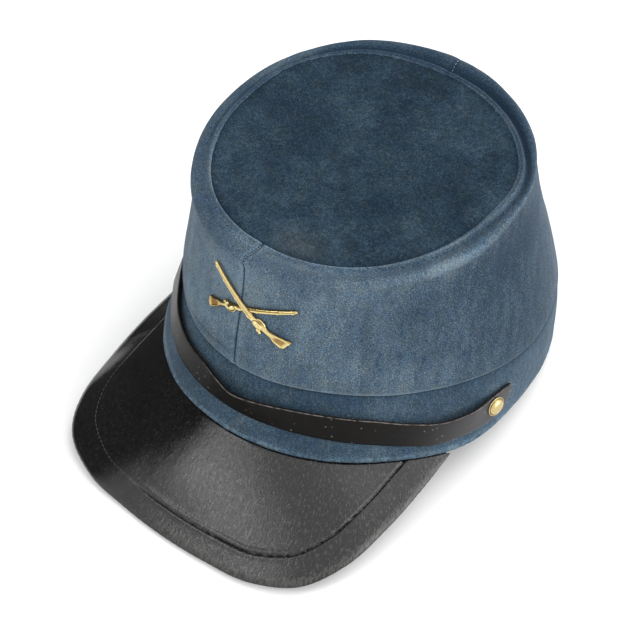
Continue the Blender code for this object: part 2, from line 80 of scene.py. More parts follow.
Push = namedtuple("Push", "out angle spread")
RIDGE_IN = Push(-0.0015, 97.0, 12.0)    # the ridge is pressed in here
DISC_OUT = Push(0.0016, 115.0, 17.0)    # and the disc bulges towards it here

CORNER_ANGLE = 72.0         # the stiff ends of the peak push the head edge out and down here
CORNER_SPREAD = 15.4
CORNER_OUT = 0.0032
CORNER_DROP = 0.0011
CORNER_FADE = 2.0

SUEDE = 0.0018              # thicknesses of the walls
BAND_WALL = 0.0026
PEAK_LEATHER = 0.0026
STRAP_LEATHER = 0.0014

# Crown
CREASE = 0.0010             # crown and band turn in where they are sewn together
CREASE_ROLL = 0.0012
OVERHANG = 0.0006
OVERHANG_AT = 0.0060
FULLNESS = 0.0008
FOLD_REACH = 0.0042         # how far the rounded ridge reaches down the side and in over the rim
FOLD_SHARP = 0.0016         # the same where the ridge is pressed to a crisp fold
FOLD_SHARP_AT = 112.0
FOLD_SHARP_SPREAD = 24.0
RIM_DIP = 0.0012
RIM_DIP_VARIES = 0.0010
RIM_DIP_SIDE = 140.0
SEAM_DIP = 0.0009           # the two sides turn in at the front and back seams
SEAM_DIP_BACK = 0.4         # the back one is pressed flatter
SEAM_ROLL = 0.0007
SEAM_FLAP = 0.0052          # the pressed-open seam allowance shows as a faint step this far out
SEAM_FLAP_RISE = 0.00025
SIDE_UNEVEN = 0.00030       # soft hand-made unevenness of the suede
RIM_UNEVEN = 0.00018
BEAD_RISE = 0.00055         # raised edge beside the disc seam
BEAD_WIDTH = 0.00080
BEAD_GROOVE = 0.00030       # and the groove on its outer side
SIDE_COLUMNS = 176
SIDE_ROWS = 74
FOLD_ROWS = 10
RIM_ROWS = 18

# Top
DISC_GAP = 0.0001
DISC_SUNK = 0.0008
DISC_SAG = 0.0012
DISC_UNEVEN = 0.00040
DISC_PUCKER = 0.00012
DISC_PUCKERS = 62
DISC_COLUMNS = 260
DISC_ROWS = 54

# Band
BAND_SWELL = 0.0005
BAND_UNEVEN = 0.00025
EDGE_ROUNDING = 0.0008
EDGE_THINNING = 0.0016
TURNED_EDGE = 0.00030       # the band's turned lower edge stands a little proud
BAND_COLUMNS = 440
BAND_ROWS = 46

# Peak
PEAK_END = 66.0
PEAK_TUCK = 0.0020
PEAK_GAP = 0.0002
PEAK_ARCH = 0.0020
PEAK_FLAT = 0.020           # where the peak is no longer than this, it isn't arched
PEAK_ARCHED = 0.038         # and where it is this long, it is so in full
PEAK_CORNER_OUT = 0.0012    # its wearer's-right corner stands out this much more than the other
PEAK_CORNER = -0.52         # place of that corner along the edge
PeakEdge = namedtuple("PeakEdge", "half_width forward drop")
PEAK_EDGE = [PeakEdge(*row) for row in (
    (0.0000, 0.1420, 0.0365), (0.0235, 0.1410, 0.0360), (0.0465, 0.1380, 0.0345), (0.0670, 0.1280, 0.0300),
    (0.0780, 0.1090, 0.0230), (0.0815, 0.0870, 0.0155), (0.0825, 0.0650, 0.0080), (0.0820, 0.0430, 0.0010),
)]
PEAK_COLUMNS = 300
PEAK_ROWS = 120
PEAK_EDGE_POINTS = 700
PEAK_STEADY = 0.045         # share of the place at each end whose columns face the same way
PEAK_EDGE_REACH = 0.0034    # the upper face rolls over this far in from the edge
PEAK_EDGE_FALL = 0.0011
PEAK_EDGE_UNDER = 0.0006
PEAK_UNEVEN = 0.00030
GROOVE_INSET_FRONT = 0.0121     # sewn groove, in from the outer edge
GROOVE_INSET_SIDE = 0.0140
GROOVE_DEPTH = 0.00075
GROOVE_HALF = 0.00042
GROOVE_LIP = 0.00030
GROOVE_SHUT = 0.10          # share of the depth that is left where the groove is pulled shut
STITCH_PITCH = 0.0023

# Strap
STRAP_WIDTH = 0.0126
STRAP_END = 85.0
STRAP_TIP_LOW = 0.0075      # length over which the lower corner of each end is cut away
STRAP_TIP_HIGH = 0.0011     # and the upper one
STRAP_TIP_HEIGHT = 0.80     # where the two meet, up the strap's width
STRAP_TIP_END = 0.02        # and the share of the width that is left between them
STRAP_SECTIONS = 420
STRAP_ROUND = 0.00045
STRAP_CROWNED = 0.06        # share of its thickness by which the face is crowned
StrapAt = namedtuple("StrapAt", "turned low_edge low_gap high_gap")
STRAP = [StrapAt(*row) for row in (
    (-90.0, 0.0068, 0.0005, 0.0009), (-77.0, 0.0071, 0.0005, 0.0010), (-66.0, 0.0091, 0.0004, 0.0009),
    (-57.0, 0.0149, 0.0004, 0.0007), (-49.0, 0.0200, 0.0004, 0.0006), (-42.0, 0.0200, 0.0004, 0.0009),
    (-33.0, 0.0184, 0.0006, 0.0018), (-24.0, 0.0168, 0.0006, 0.0021), (-10.0, 0.0163, 0.0007, 0.0025),
    (-3.0, 0.0162, 0.0006, 0.0043), (3.0, 0.0160, 0.0006, 0.0060), (12.0, 0.0157, 0.0007, 0.0050),
    (20.0, 0.0150, 0.0007, 0.0036), (30.0, 0.0138, 0.0007, 0.0029), (42.0, 0.0115, 0.0007, 0.0025),
    (50.0, 0.0095, 0.0007, 0.0034), (60.0, 0.0068, 0.0008, 0.0040), (70.0, 0.0069, 0.0008, 0.0040),
    (77.0, 0.0069, 0.0008, 0.0020), (83.0, 0.0069, 0.0008, 0.0009), (90.0, 0.0072, 0.0008, 0.0009),
)]

# Buttons
BUTTON_ANGLE = 78.4
BUTTON_RISE = 0.0013
BUTTON_STAND = 0.0006
BUTTON_TURNS = 72
BUTTON_DISH = 0.00408       # radius of the groove between rim and dome
BUTTON_PROFILE = (          # radius and height, from the shank up over the rim to the dome
    (0.00060, -0.00050), (0.00120, -0.00045), (0.00125, 0.00000), (0.00430, 0.00000), (0.00458, 0.00008),
    (0.00470, 0.00026), (0.00470, 0.00052), (0.00462, 0.00070), (0.00444, 0.00076), (0.00424, 0.00070),
    (0.00408, 0.00060), (0.00396, 0.00070), (0.00372, 0.00110), (0.00330, 0.00150), (0.00270, 0.00186),
    (0.00200, 0.00210), (0.00120, 0.00225), (0.00050, 0.00230),
)

# Badge: places across a rifle's half width, and how high its three kinds of section stand there
ACROSS, PLAIN, PANEL, BARREL = np.array((
    (-1.0, -1.0, -0.92, -0.80, -0.66, -0.56, -0.30, 0.0, 0.12, 0.22, 0.32, 0.56, 0.66, 0.80, 0.92, 1.0, 1.0),
    (0.0, 0.25, 0.45, 0.62, 0.76, 0.84, 0.96, 1.0, 0.99, 0.975, 0.95, 0.84, 0.76, 0.62, 0.45, 0.25, 0.0),
    (0.0, 0.55, 0.85, 1.0, 0.90, 0.50, 0.42, 0.42, 0.42, 0.42, 0.42, 0.50, 0.90, 1.0, 0.85, 0.55, 0.0),
    (0.0, 0.30, 0.55, 0.74, 0.84, 0.88, 0.88, 0.78, 0.52, 0.30, 0.40, 0.95, 1.0, 0.92, 0.72, 0.35, 0.0),
))
RIFLE_LENGTH = 0.0448
RIFLE_RELIEF = 0.0014
RIFLE_CLEAR = 0.0005
BADGE_ANGLE = 3.0
BADGE_SHARE = 0.585
BOSS_RINGS = 9
BOSS_SIDES = 12
GUARD_RINGS = 15
GUARD_SIDES = 8
GUARD_DULL = 0.2
Rifle = namedtuple("Rifle", "slope from_butt lift dull_butt")
RIFLE_OVER = Rifle(145.5, 0.0209, 0.0007, 0.05)
RIFLE_UNDER = Rifle(18.0, 0.0218, 0.0000, 0.45)
Station = namedtuple("Station", "along offset half_width depth")
RIFLE_STATIONS = [Station(*row) for row in (
    (0.000, -0.00190, 0.00252, 0.60), (0.008, -0.00188, 0.00272, 0.85), (0.040, -0.00160, 0.00242, 0.80),
    (0.090, -0.00125, 0.00196, 0.80), (0.145, -0.00078, 0.00140, 0.76), (0.190, -0.00045, 0.00108, 0.75),
    (0.225, -0.00040, 0.00120, 0.80), (0.245, -0.00040, 0.00160, 0.85), (0.275, -0.00042, 0.00165, 0.95),
    (0.335, -0.00030, 0.00150, 1.00), (0.365, -0.00015, 0.00120, 0.92), (0.400, 0.00000, 0.00118, 0.85),
    (0.600, 0.00000, 0.00110, 0.80), (0.790, 0.00000, 0.00100, 0.75), (0.985, 0.00000, 0.00080, 0.65),
    (1.000, 0.00000, 0.00055, 0.50),
)]


# ---------------- curves and noise

def hump(value, middle, half):
    """Smooth hump of height 1 round a middle."""
    return np.exp(-((value - middle) / half) ** 2)


def step(value, middle, half):
    """Smooth step from 0 to 1 round a middle."""
    return 0.5 + 0.5 * np.tanh((value - middle) / half)


def rounded(distance, reach):
    """How far a rounded edge falls away: 1 at the edge, on a quarter circle to 0 at its reach."""
    return 1.0 - np.sqrt(1.0 - np.clip(1.0 - distance / reach, 0.0, 1.0) ** 2)


def length(vectors, keepdims=False):
    """Lengths of vectors that lie along the last axis."""
    return np.linalg.norm(vectors, axis=-1, keepdims=keepdims)


def unit(vectors):
    return vectors / length(vectors, keepdims=True)


def unevenness(points, size, seed):
    """Smooth noise, about -0.7 to 0.7, over points, with features of a size."""
    shift = Vector((seed, 2.3 * seed, -1.7 * seed))
    flat = points.reshape(-1, 3) / size
    return np.array([noise.noise(Vector(point) + shift) for point in flat]).reshape(points.shape[:-1])


def catmull_rom(before, start, end, after, share):
    """Smooth curve from start to end, which also heads for its neighbours."""
    return 0.5 * (2.0 * start + (end - before) * share
                  + (2.0 * before - 5.0 * start + 4.0 * end - after) * share ** 2
                  + (3.0 * start - before - 3.0 * end + after) * share ** 3)


def row_at(table, key):
    """Row of a table at a key of its first column, on a smooth curve through the rows."""
    rows = np.array(table)
    last = len(rows) - 2
    place = min(max(int(np.searchsorted(rows[:, 0], key, side="right")) - 1, 0), last)
    before = rows[place - 1] if place > 0 else 2.0 * rows[0] - rows[1]
    after = rows[place + 2] if place < last else 2.0 * rows[-1] - rows[-2]
    share = (key - rows[place, 0]) / (rows[place + 1, 0] - rows[place, 0])
    return type(table[0])(*catmull_rom(before, rows[place], rows[place + 1], after, share))


# ---------------- points on the cap

def turned_by(angle):
    """Degrees from the front, -180 to 180, of an angle."""
    return np.degrees(np.arctan2(np.sin(angle), np.cos(angle)))


def turned_at(points):
    """Degrees from the front of points."""
    return np.degrees(np.arctan2(points[..., 0], -points[..., 1]))


def signed_power(value, exponent):
    """Power that keeps the sign, for superellipses."""
    return np.sign(value) * np.abs(value) ** exponent


def ring_points(ring, angle):
    """Points of a ring at angles."""
    angle = np.asarray(angle, float)
    back = -np.cos(angle)
    exponent = 2.0 / ring.roundness
    x = ring.half_width * signed_power(np.sin(angle), exponent) * (1.0 + ring.narrowing * back)
    y = ring.half_length * signed_power(back, exponent)
    z = ring.saddle * np.cos(2.0 * angle)
    tilt = radians(ring.tilt)
    points = np.stack([x, y * cos(tilt) - z * sin(tilt), y * sin(tilt) + z * cos(tilt)], axis=-1)
    points += np.array([0.0, ring.centre_y, ring.height])
    points[..., :2] += unit(points[..., :2]) * (ring.lobes * np.cos(3.0 * angle))[..., None]
    return points


def outward(ring, angle):
    """Horizontal direction square to a ring, pointing away from the head."""
    near = 0.001
    along = ring_points(ring, angle + near) - ring_points(ring, angle - near)
    return unit(np.stack([along[..., 1], -along[..., 0], np.zeros(along.shape[:-1])], axis=-1))


def pushed(ring, push, angle):
    """Points of a ring that is pushed in or out round one angle."""
    out = push.out * hump(turned_by(angle), push.angle, push.spread)
    return ring_points(ring, angle) + outward(ring, angle) * out[..., None]


def corner_push(angle):
    """How far the ends of the peak push the head edge out and down."""
    angle = np.asarray(angle, float)
    near = hump(np.abs(turned_by(angle)), CORNER_ANGLE, CORNER_SPREAD)
    push = outward(HEAD_EDGE, angle) * (CORNER_OUT * near)[..., None]
    push[..., 2] = -CORNER_DROP * near
    return push


def side_points(angle, share):
    """Outside of the crown's side: share 0 is the seam with the band, 1 is the ridge."""
    low = ring_points(CROWN_SEAM, angle)
    high = pushed(RIDGE, RIDGE_IN, angle)
    share = np.asarray(share, float) * np.ones(low.shape[:-1])
    height = share * length(high - low)
    turned_in = CREASE * np.exp(-height / CREASE_ROLL)
    swell = OVERHANG * (height / OVERHANG_AT) * np.exp(1.0 - height / OVERHANG_AT)
    out = FULLNESS * np.sin(2.0 * pi * share) + swell - turned_in
    return low + (high - low) * share[..., None] + outward(CROWN_SEAM, angle) * out[..., None]


def band_points(angle, share, stand_off=0.0):
    """Outside of the band, or that far off it: share 0 is the head edge, 1 is the seam."""
    low = ring_points(HEAD_EDGE, angle)
    high = ring_points(CROWN_SEAM, angle)
    share = np.asarray(share, float) * np.ones(low.shape[:-1])
    out = BAND_SWELL * np.sin(pi * share) + stand_off
    push = corner_push(angle) * ((1.0 - share) ** CORNER_FADE)[..., None]
    return low + (high - low) * share[..., None] + push + outward(CROWN_SEAM, angle) * out[..., None]


def band_share(angle, height):
    """Share of the way up the band at a height."""
    low = ring_points(HEAD_EDGE, angle)[..., 2]
    high = ring_points(CROWN_SEAM, angle)[..., 2]
    return (height - low) / (high - low)


# ---------------- closed bodies from grids of points

def grid_normals(grid):
    """Unit normals of a grid of points[row, column], from its neighbours."""
    return unit(np.cross(np.gradient(grid, axis=1), np.gradient(grid, axis=0)))


def grid_quads(rows, columns, wraps):
    """Corner indices of the quads of a grid."""
    column = np.arange(columns if wraps else columns - 1)
    row = np.arange(rows - 1)[:, None]
    here = row * columns + column
    after = row * columns + (column + 1) % columns
    return np.stack([here, after, after + columns, here + columns], axis=-1).reshape(-1, 4)


def closed_shell(outer, inner, wraps, last_row_open=False):
    """Mesh data of a wall between two grids of the same shape."""
    rows, columns = outer.shape[:2]
    count = rows * columns
    quads = grid_quads(rows, columns, wraps)
    column = np.arange(columns if wraps else columns - 1)
    row = np.arange(rows - 1)
    runs = [((column + 1) % columns, column)]
    if not last_row_open:
        after = (rows - 1) * columns + (column + 1) % columns
        runs.append(((rows - 1) * columns + column, after))
    if not wraps:
        runs.append((row * columns, (row + 1) * columns))
        runs.append(((row + 2) * columns - 1, (row + 1) * columns - 1))
    faces = [quads, quads[:, ::-1] + count]
    faces += [np.stack([here, there, there + count, here + count], axis=-1) for here, there in runs]
    return np.concatenate([outer.reshape(-1, 3), inner.reshape(-1, 3)]), np.concatenate(faces).tolist()


def tube(sections):
    """Mesh data of a closed tube through rings of points."""
    sections = np.stack(sections)
    count, sides = sections.shape[:2]
    quads = grid_quads(count, sides, wraps=True).tolist()
    ends = [list(range(sides))[::-1], [(count - 1) * sides + side for side in range(sides)]]
    return sections.reshape(-1, 3), quads + ends


def joined(bodies):
    """Mesh data of several bodies as one."""
    faces = []
    count = 0
    for body_points, body_faces in bodies:
        faces += [[index + count for index in face] for face in body_faces]
        count += len(body_points)
    return np.concatenate([body_points for body_points, _ in bodies]), faces


def make_mesh(name, mesh_data, sharp_angle=60.0):
    """Mesh with its faces turned out and its round sides shaded smooth."""
    points, faces = mesh_data
    mesh = bpy.data.meshes.new(name)
    mesh.from_pydata(np.asarray(points).tolist(), [], faces)
    work = bmesh.new()
    work.from_mesh(mesh)
    bmesh.ops.recalc_face_normals(work, faces=work.faces)
    work.to_mesh(mesh)
    work.free()
    mesh.shade_smooth()
    mesh.set_sharp_from_angle(angle=radians(sharp_angle))
    return mesh


def place_piece(mesh, material, slot, *nodes, **painted):
    """Object that rides on the cap in place of its solids, painted with values that its material reads."""
    for name, values in painted.items():
        field = np.zeros(len(mesh.vertices), np.float32)
        flat = np.asarray(values, np.float32).reshape(-1)
        field[:len(flat)] = flat    # the inner side of a wall keeps 0
        mesh.attributes.new(name, "FLOAT", "POINT").data.foreach_set("value", field)
    mesh.transform(CAP_AT_REST)
    piece = bpy.data.objects.new(mesh.name, mesh)
    bpy.context.collection.objects.link(piece)
    mesh.materials.clear()
    mesh.materials.append(material)
    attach(piece, "root")
    if nodes:
        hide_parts(*nodes)


# ---------------- node shorthand

class Nodes:
    """A node tree, with short ways to add the nodes used here."""

    def __init__(self, tree):
        self.tree = tree

    def node(self, kind, inputs=(), **settings):
        """New node with its settings, and its inputs linked or set."""
        made = self.tree.nodes.new("ShaderNode" + kind)
        for key, value in settings.items():
            setattr(made, key, value)
        for key, value in dict(inputs).items():
            self.link(value, made.inputs[key])
        return made

    def link(self, value, socket):
        """Link a socket, or set a plain value."""
        if isinstance(value, bpy.types.NodeSocket):
            self.tree.links.new(value, socket)
        else:
            socket.default_value = value

    def math(self, operation, first, second, clamp=False):
        return self.node("Math", {0: first, 1: second}, operation=operation, use_clamp=clamp).outputs[0]

    def times(self, first, second, clamp=False):
        return self.math("MULTIPLY", first, second, clamp)

    def total(self, *terms):
        return reduce(lambda first, second: self.math("ADD", first, second), terms)

    def stretch(self, value, low, high, to_high=1.0):
        ends = {"Value": value, "From Min": low, "From Max": high, "To Min": 0.0, "To Max": to_high}
        return self.node("MapRange", ends, interpolation_type="SMOOTHSTEP").outputs["Result"]


class Shading(Nodes):
    """A material's node tree."""

    def __init__(self, name):
        self.material = bpy.data.materials.new(name)
        self.material.use_nodes = True
        super().__init__(self.material.node_tree)
        self.shader = self.tree.nodes["Principled BSDF"]
        self.place = self.node("TexCoord").outputs["Object"]

    def scaled(self, scale):
        return self.node("Mapping", {"Vector": self.place, "Scale": scale}).outputs[0]

    def noise(self, scale, detail=3.0, roughness=0.5, vector=None, distortion=0.0):
        made = {"Vector": vector or self.place, "Scale": scale, "Detail": detail, "Roughness": roughness,
                "Distortion": distortion}
        return self.node("TexNoise", made).outputs["Fac"]

    def cells(self, scale, feature="F1"):
        made = {"Vector": self.place, "Scale": scale}
        return self.node("TexVoronoi", made, feature=feature).outputs["Distance"]

    def centred(self, value, gain):
        """A 0 to 1 noise turned into plus and minus half the gain."""
        return self.times(self.math("SUBTRACT", value, 0.5), gain)

    def painted(self, name):
        return self.node("Attribute", attribute_name=name).outputs["Fac"]

    def ramp(self, value, *stops):
        made = self.node("ValToRGB", {"Fac": value})
        elements = made.color_ramp.elements
        while len(elements) < len(stops):
            elements.new(0.5)
        for element, (position, colour) in zip(elements, stops):
            element.position = position
            element.color = (*colour, 1.0)
        return made.outputs["Color"]

    def mix(self, share, *colours, blend="MIX"):
        made = self.node("Mix", data_type="RGBA", blend_type=blend)
        self.link(share, made.inputs["Factor"])
        for key, colour in zip("AB", colours):
            plain = not isinstance(colour, bpy.types.NodeSocket)
            self.link((*colour, 1.0) if plain else colour, made.inputs[key])
        return made.outputs["Result"]

    def tinted(self, share, colour, first, second):
        """The colour multiplied by something between two tints."""
        return self.mix(1.0, colour, self.mix(share, first, second), blend="MULTIPLY")

    def bump(self, height, distance, strength):
        made = {"Height": height, "Distance": distance, "Strength": strength}
        return self.node("Bump", made).outputs["Normal"]

    def finish(self, colour, roughness, normal=None, **fixed):
        self.link(colour, self.shader.inputs["Base Color"])
        self.link(roughness, self.shader.inputs["Roughness"])
        if normal is not None:
            self.link(normal, self.shader.inputs["Normal"])
        for key, value in fixed.items():
            self.shader.inputs[key.replace("_", " ")].default_value = value
        return self.material


# ---------------- materials

SMUDGE = (0.075, 0.070, 0.062)
# colour that the painted shade darkens the suede towards
SHADED = (0.0, 0.009, 0.020)
SIDE_COLOURS = ((0.014, 0.030, 0.052), (0.052, 0.079, 0.107), (0.138, 0.187, 0.224))
# darker than the sides' colours: partly the top's own nap, partly painted shade of the upward-facing top
TOP_COLOURS = ((0.0045, 0.0105, 0.0185), (0.0116, 0.0246, 0.0388), (0.042, 0.069, 0.093))
BAND_COLOURS = ((0.008, 0.018, 0.034), (0.028, 0.050, 0.074), (0.115, 0.165, 0.205))
PEAK_COLOURS = ((0.001, 0.001, 0.001), (0.0092, 0.0090, 0.0088), (0.036, 0.035, 0.033))
STRAP_COLOURS = ((0.002, 0.0018, 0.0016), (0.0055, 0.0049, 0.0044), (0.026, 0.022, 0.019))
RAMP_STOPS = (0.0, 0.5, 1.0)


def suede(name, colours, sheen=0.10, uneven=1.0, cloudy=0.80, napped=2.0):
    """Napped suede: clouds, scuffed patches, brushed streaks, speckled nap and single pale fibres, with
    painted light and shade.
    """
    s = Shading(name)
    pale = colours[-1]
    clouds = s.centred(s.noise(30.0, 3.0, 0.55), cloudy)
    patches = s.centred(s.noise(110.0, 3.0, 0.55), 0.26 * uneven)
    streaks = s.centred(s.noise(560.0, 3.0, 0.65, s.scaled((1.0, 1.0, 0.35))), 0.42 * uneven)
    nap = s.centred(s.noise(1700.0, 2.0, 0.75), napped)
    # the nap shows stronger under the painted shade
    nap = s.times(nap, s.total(s.times(s.painted("dim"), 1.8), 1.0))
    tone = s.total(0.5, clouds, patches, streaks, nap, s.painted("tone"))
    colour = s.ramp(tone, *zip(RAMP_STOPS, colours))
    fibres = s.stretch(s.noise(1500.0, 2.0, 0.6, s.scaled((1.6, 1.6, 0.8))), 0.66, 0.74)
    colour = s.mix(s.times(fibres, 0.40), colour, pale)
    hue = s.stretch(s.noise(170.0, 4.0, 0.65), 0.32, 0.68)
    colour = s.tinted(hue, colour, (0.87, 0.97, 1.06), (1.08, 1.03, 0.96))
    # painted shade, where the piece is painted so
    colour = s.mix(s.painted("dim"), colour, SHADED)
    brown = s.times(s.painted("brown"), s.noise(160.0, 4.0, 0.7), clamp=True)
    colour = s.mix(brown, colour, SMUDGE)
    rough_nap = s.total(s.noise(1700.0, 2.0, 0.75), s.times(s.noise(420.0, 3.0, 0.60), 0.25))
    return s.finish(colour, 0.95, s.bump(rough_nap, 0.00030, 0.40), Specular_IOR_Level=0.10,
                    Sheen_Weight=sheen, Sheen_Roughness=0.45, Sheen_Tint=(0.75, 0.84, 0.95, 1.0))


def peak_leather():
    """Black leather whose fine pebbled grain draws out into creases that run from the band to the edge."""
    s = Shading("peak_grain")
    outwards = s.times(s.painted("outwards"), 0.42)
    drawn = s.node("CombineXYZ", {"X": s.painted("around"), "Y": outwards}).outputs[0]
    creases = s.noise(1350.0, 2.0, 0.65, drawn, 0.5)
    folds = s.noise(240.0, 3.0, 0.60, drawn, 0.4)
    # grain creases paler and darker where the peak is painted so: partly wear, partly a painted highlight on
    # the grain
    worn = s.times(s.total(s.centred(creases, 5.0), -0.30), s.painted("worn"))
    pebble = s.stretch(s.cells(1100.0, "DISTANCE_TO_EDGE"), 0.0, 0.30)
    drawn_out = s.total(s.times(creases, 0.7), s.times(folds, 0.9))
    height = s.times(s.total(s.times(pebble, 0.20), drawn_out), s.painted("worn"))
    normal = s.bump(height, 0.00020, 0.75)
    clouds = s.centred(s.noise(35.0, 4.0, 0.6), 0.4)
    tone = s.total(0.46, clouds, s.centred(pebble, 0.3), worn, s.painted("tone"))
    roughness = s.total(0.08, s.centred(s.noise(60.0, 4.0, 0.6), 0.04), s.times(worn, -0.06),
                        s.times(s.painted("worn"), 0.11))
    return s.finish(s.ramp(tone, *zip(RAMP_STOPS, PEAK_COLOURS)), roughness, normal, Specular_IOR_Level=0.5)


def strap_leather():
    """Black leather, scratched and dust-specked, with a painted reflection greying its ends, its cut edges
    near black, partly as painted shade, and pale along its upper corner, partly from wear and partly as a
    painted highlight.
    """
    s = Shading("strap_leather")
    scratch = s.stretch(s.noise(300.0, 4.0, 0.7, s.scaled((1.0, 0.6, 4.0)), 1.2), 0.60, 0.70)
    speck = s.stretch(s.cells(330.0), 0.20, 0.08)
    dust = s.times(speck, s.stretch(s.noise(140.0, 2.0, 0.5), 0.50, 0.56))
    tone = s.total(0.35, s.centred(s.noise(55.0, 4.0, 0.6), 0.7), s.times(scratch, 0.18))
    colour = s.ramp(tone, *zip(RAMP_STOPS, STRAP_COLOURS))
    # painted reflection: the ends greyer
    colour = s.mix(s.painted("grey"), colour, (0.060, 0.059, 0.063))
    colour = s.mix(s.times(dust, 0.40), colour, (0.24, 0.22, 0.20))
    # cut edges near black: partly a dark edge finish, partly painted shade of the gap between strap and band
    colour = s.mix(s.times(s.painted("edge"), 0.9), colour, (0.008, 0.0065, 0.006))
    worn = s.stretch(s.noise(400.0, 3.0, 0.6), 0.30, 0.62)
    # pale along the upper corner: partly wear, partly a painted highlight
    colour = s.mix(s.times(s.painted("rubbed"), worn), colour, (0.125, 0.112, 0.102))
    grain = s.total(s.noise(1300.0, 3.0, 0.6), s.times(scratch, -0.5))
    roughness = s.total(0.32, s.centred(s.noise(120.0, 4.0, 0.6), 0.16), s.times(scratch, 0.15),
                        s.times(s.painted("edge"), 0.4))
    return s.finish(colour, roughness, s.bump(grain, 0.00012, 0.6), Specular_IOR_Level=0.09)


def brass(name, bright, tarnish, roughness):
    """Cast brass, bright on what stands proud and tarnished in what lies deep."""
    s = Shading(name)
    dulled = s.centred(s.noise(380.0, 4.0, 0.65), 0.5)
    share = s.math("ADD", s.times(s.painted("deep"), 0.9), dulled, clamp=True)
    polish = s.total(roughness, s.times(share, 0.25), s.centred(s.noise(900.0, 3.0, 0.6), 0.10))
    normal = s.bump(s.noise(900.0, 4.0, 0.6), 0.00018, 0.7)
    return s.finish(s.mix(share, bright, tarnish), polish, normal, Metallic=1.0)


def thread(name, dark, pale):
    """Twisted sewing thread, with a painted highlight where it is painted so."""
    s = Shading(name)
    twist = s.noise(2200.0, 2.0, 0.5)
    # painted highlight: paler grey where painted so
    colour = s.mix(s.painted("dusty"), s.mix(twist, dark, pale), (0.040, 0.040, 0.040))
    return s.finish(colour, 0.8, s.bump(twist, 0.00008, 0.6), Sheen_Weight=0.2)


# ---------------- painted light and shade on the suede

Shade = namedtuple("Shade", "amount angle spread place reach")
ALL = 1e9                   # spread or reach of a shade that has no middle
# painted light and shade of the sides, by place: 0 the band, 1 to 2 round the ridge, 3 the disc
SIDE_SHADES = [Shade(*row) for row in (
    (0.11, -5.0, 42.0, 0.0, ALL), (0.20, -8.0, 32.0, 0.75, 0.35),       # painted light on the front
    (-0.06, 96.0, 34.0, 0.0, ALL), (-0.22, 80.0, 40.0, 0.60, 0.40),     # painted shade on the wearer's left
    (-0.20, 92.0, 34.0, 0.80, 0.20),
    (0.22, 66.0, 26.0, 1.30, 0.55), (0.20, 78.0, 16.0, 1.50, 0.40),     # painted highlight along the crest of the ridge
    (0.26, 110.0, 13.0, 1.50, 0.13), (-0.12, 104.0, 14.0, 1.60, 0.60),
    (-0.10, 0.0, ALL, 1.95, 0.35), (-0.36, -45.0, 28.0, 2.20, 0.60),    # painted shade on the rim
    (-0.14, 102.0, 20.0, 2.40, 0.50), (-0.22, 150.0, 34.0, 2.15, 0.45),
)]
# painted highlight on the crown's lower edge, and painted shade in a crease at the front with painted light
# above it, by distance up from the seam with the band
HEM_SHADES = [Shade(*row) for row in (
    (0.50, 0.0, ALL, 0.0013, 0.0012), (-0.24, -12.0, 14.0, 0.0080, 0.0008),
    (0.14, -12.0, 14.0, 0.0170, 0.0080),
)]
# painted shade on the bead, in the disc seam and in the groove outside the bead, and where the bead is
# pressed flat a painted highlight at the seam with painted shade beyond it; amount, distance from the disc
# seam and reach: in bead widths, or in metres where the bead is pressed flat
BEAD_SHADES = ((-0.08, 1.0, 0.6), (-0.35, 0.0, 0.5), (-0.34, 3.2, 1.3))
FLAT_BEAD_SHADES = ((0.30, 0.0001, 0.0003), (-0.14, 0.0014, 0.0006))


def shaded(rows, turned, place):
    """Painted light and shade: how much paler or darker, from soft patches round an angle and a place."""
    return sum(row.amount * hump(turned, row.angle, row.spread) * hump(place, row.place, row.reach)
               for row in rows)


def side_tone(turned, place, from_seam, along, at_back):
    """Painted light and shade of a side: along the seams, the hem, the fold and the rim."""
    # painted shade down the centre seams, with painted highlights on their flanks
    seam = 0.14 * hump(from_seam, 0.0020, 0.0014) - 1.20 * np.exp(-from_seam / 0.00035)
    # painted shade on the back of the rim
    back_of_rim = -0.28 * step(np.abs(turned), 135.0, 12.0) * hump(place, 2.2, 0.6)
    shades = shaded(SIDE_SHADES, turned, place) + shaded(HEM_SHADES, turned, along)
    # the -0.55 term is painted shade where the side turns in at the seam with the band
    return at_back * seam - 0.55 * np.exp(-along / 0.0004) + back_of_rim + shades


# ---------------- crown

def side_columns():
    """Angles across one side, from the front seam to the back one, close together at both."""
    ends = np.array([0.0002, 0.0035, 0.0080, 0.0140, 0.0220, 0.0320])
    middle = np.linspace(0.045, pi - 0.045, SIDE_COLUMNS)
    return np.concatenate([ends, middle, pi - ends[::-1]])


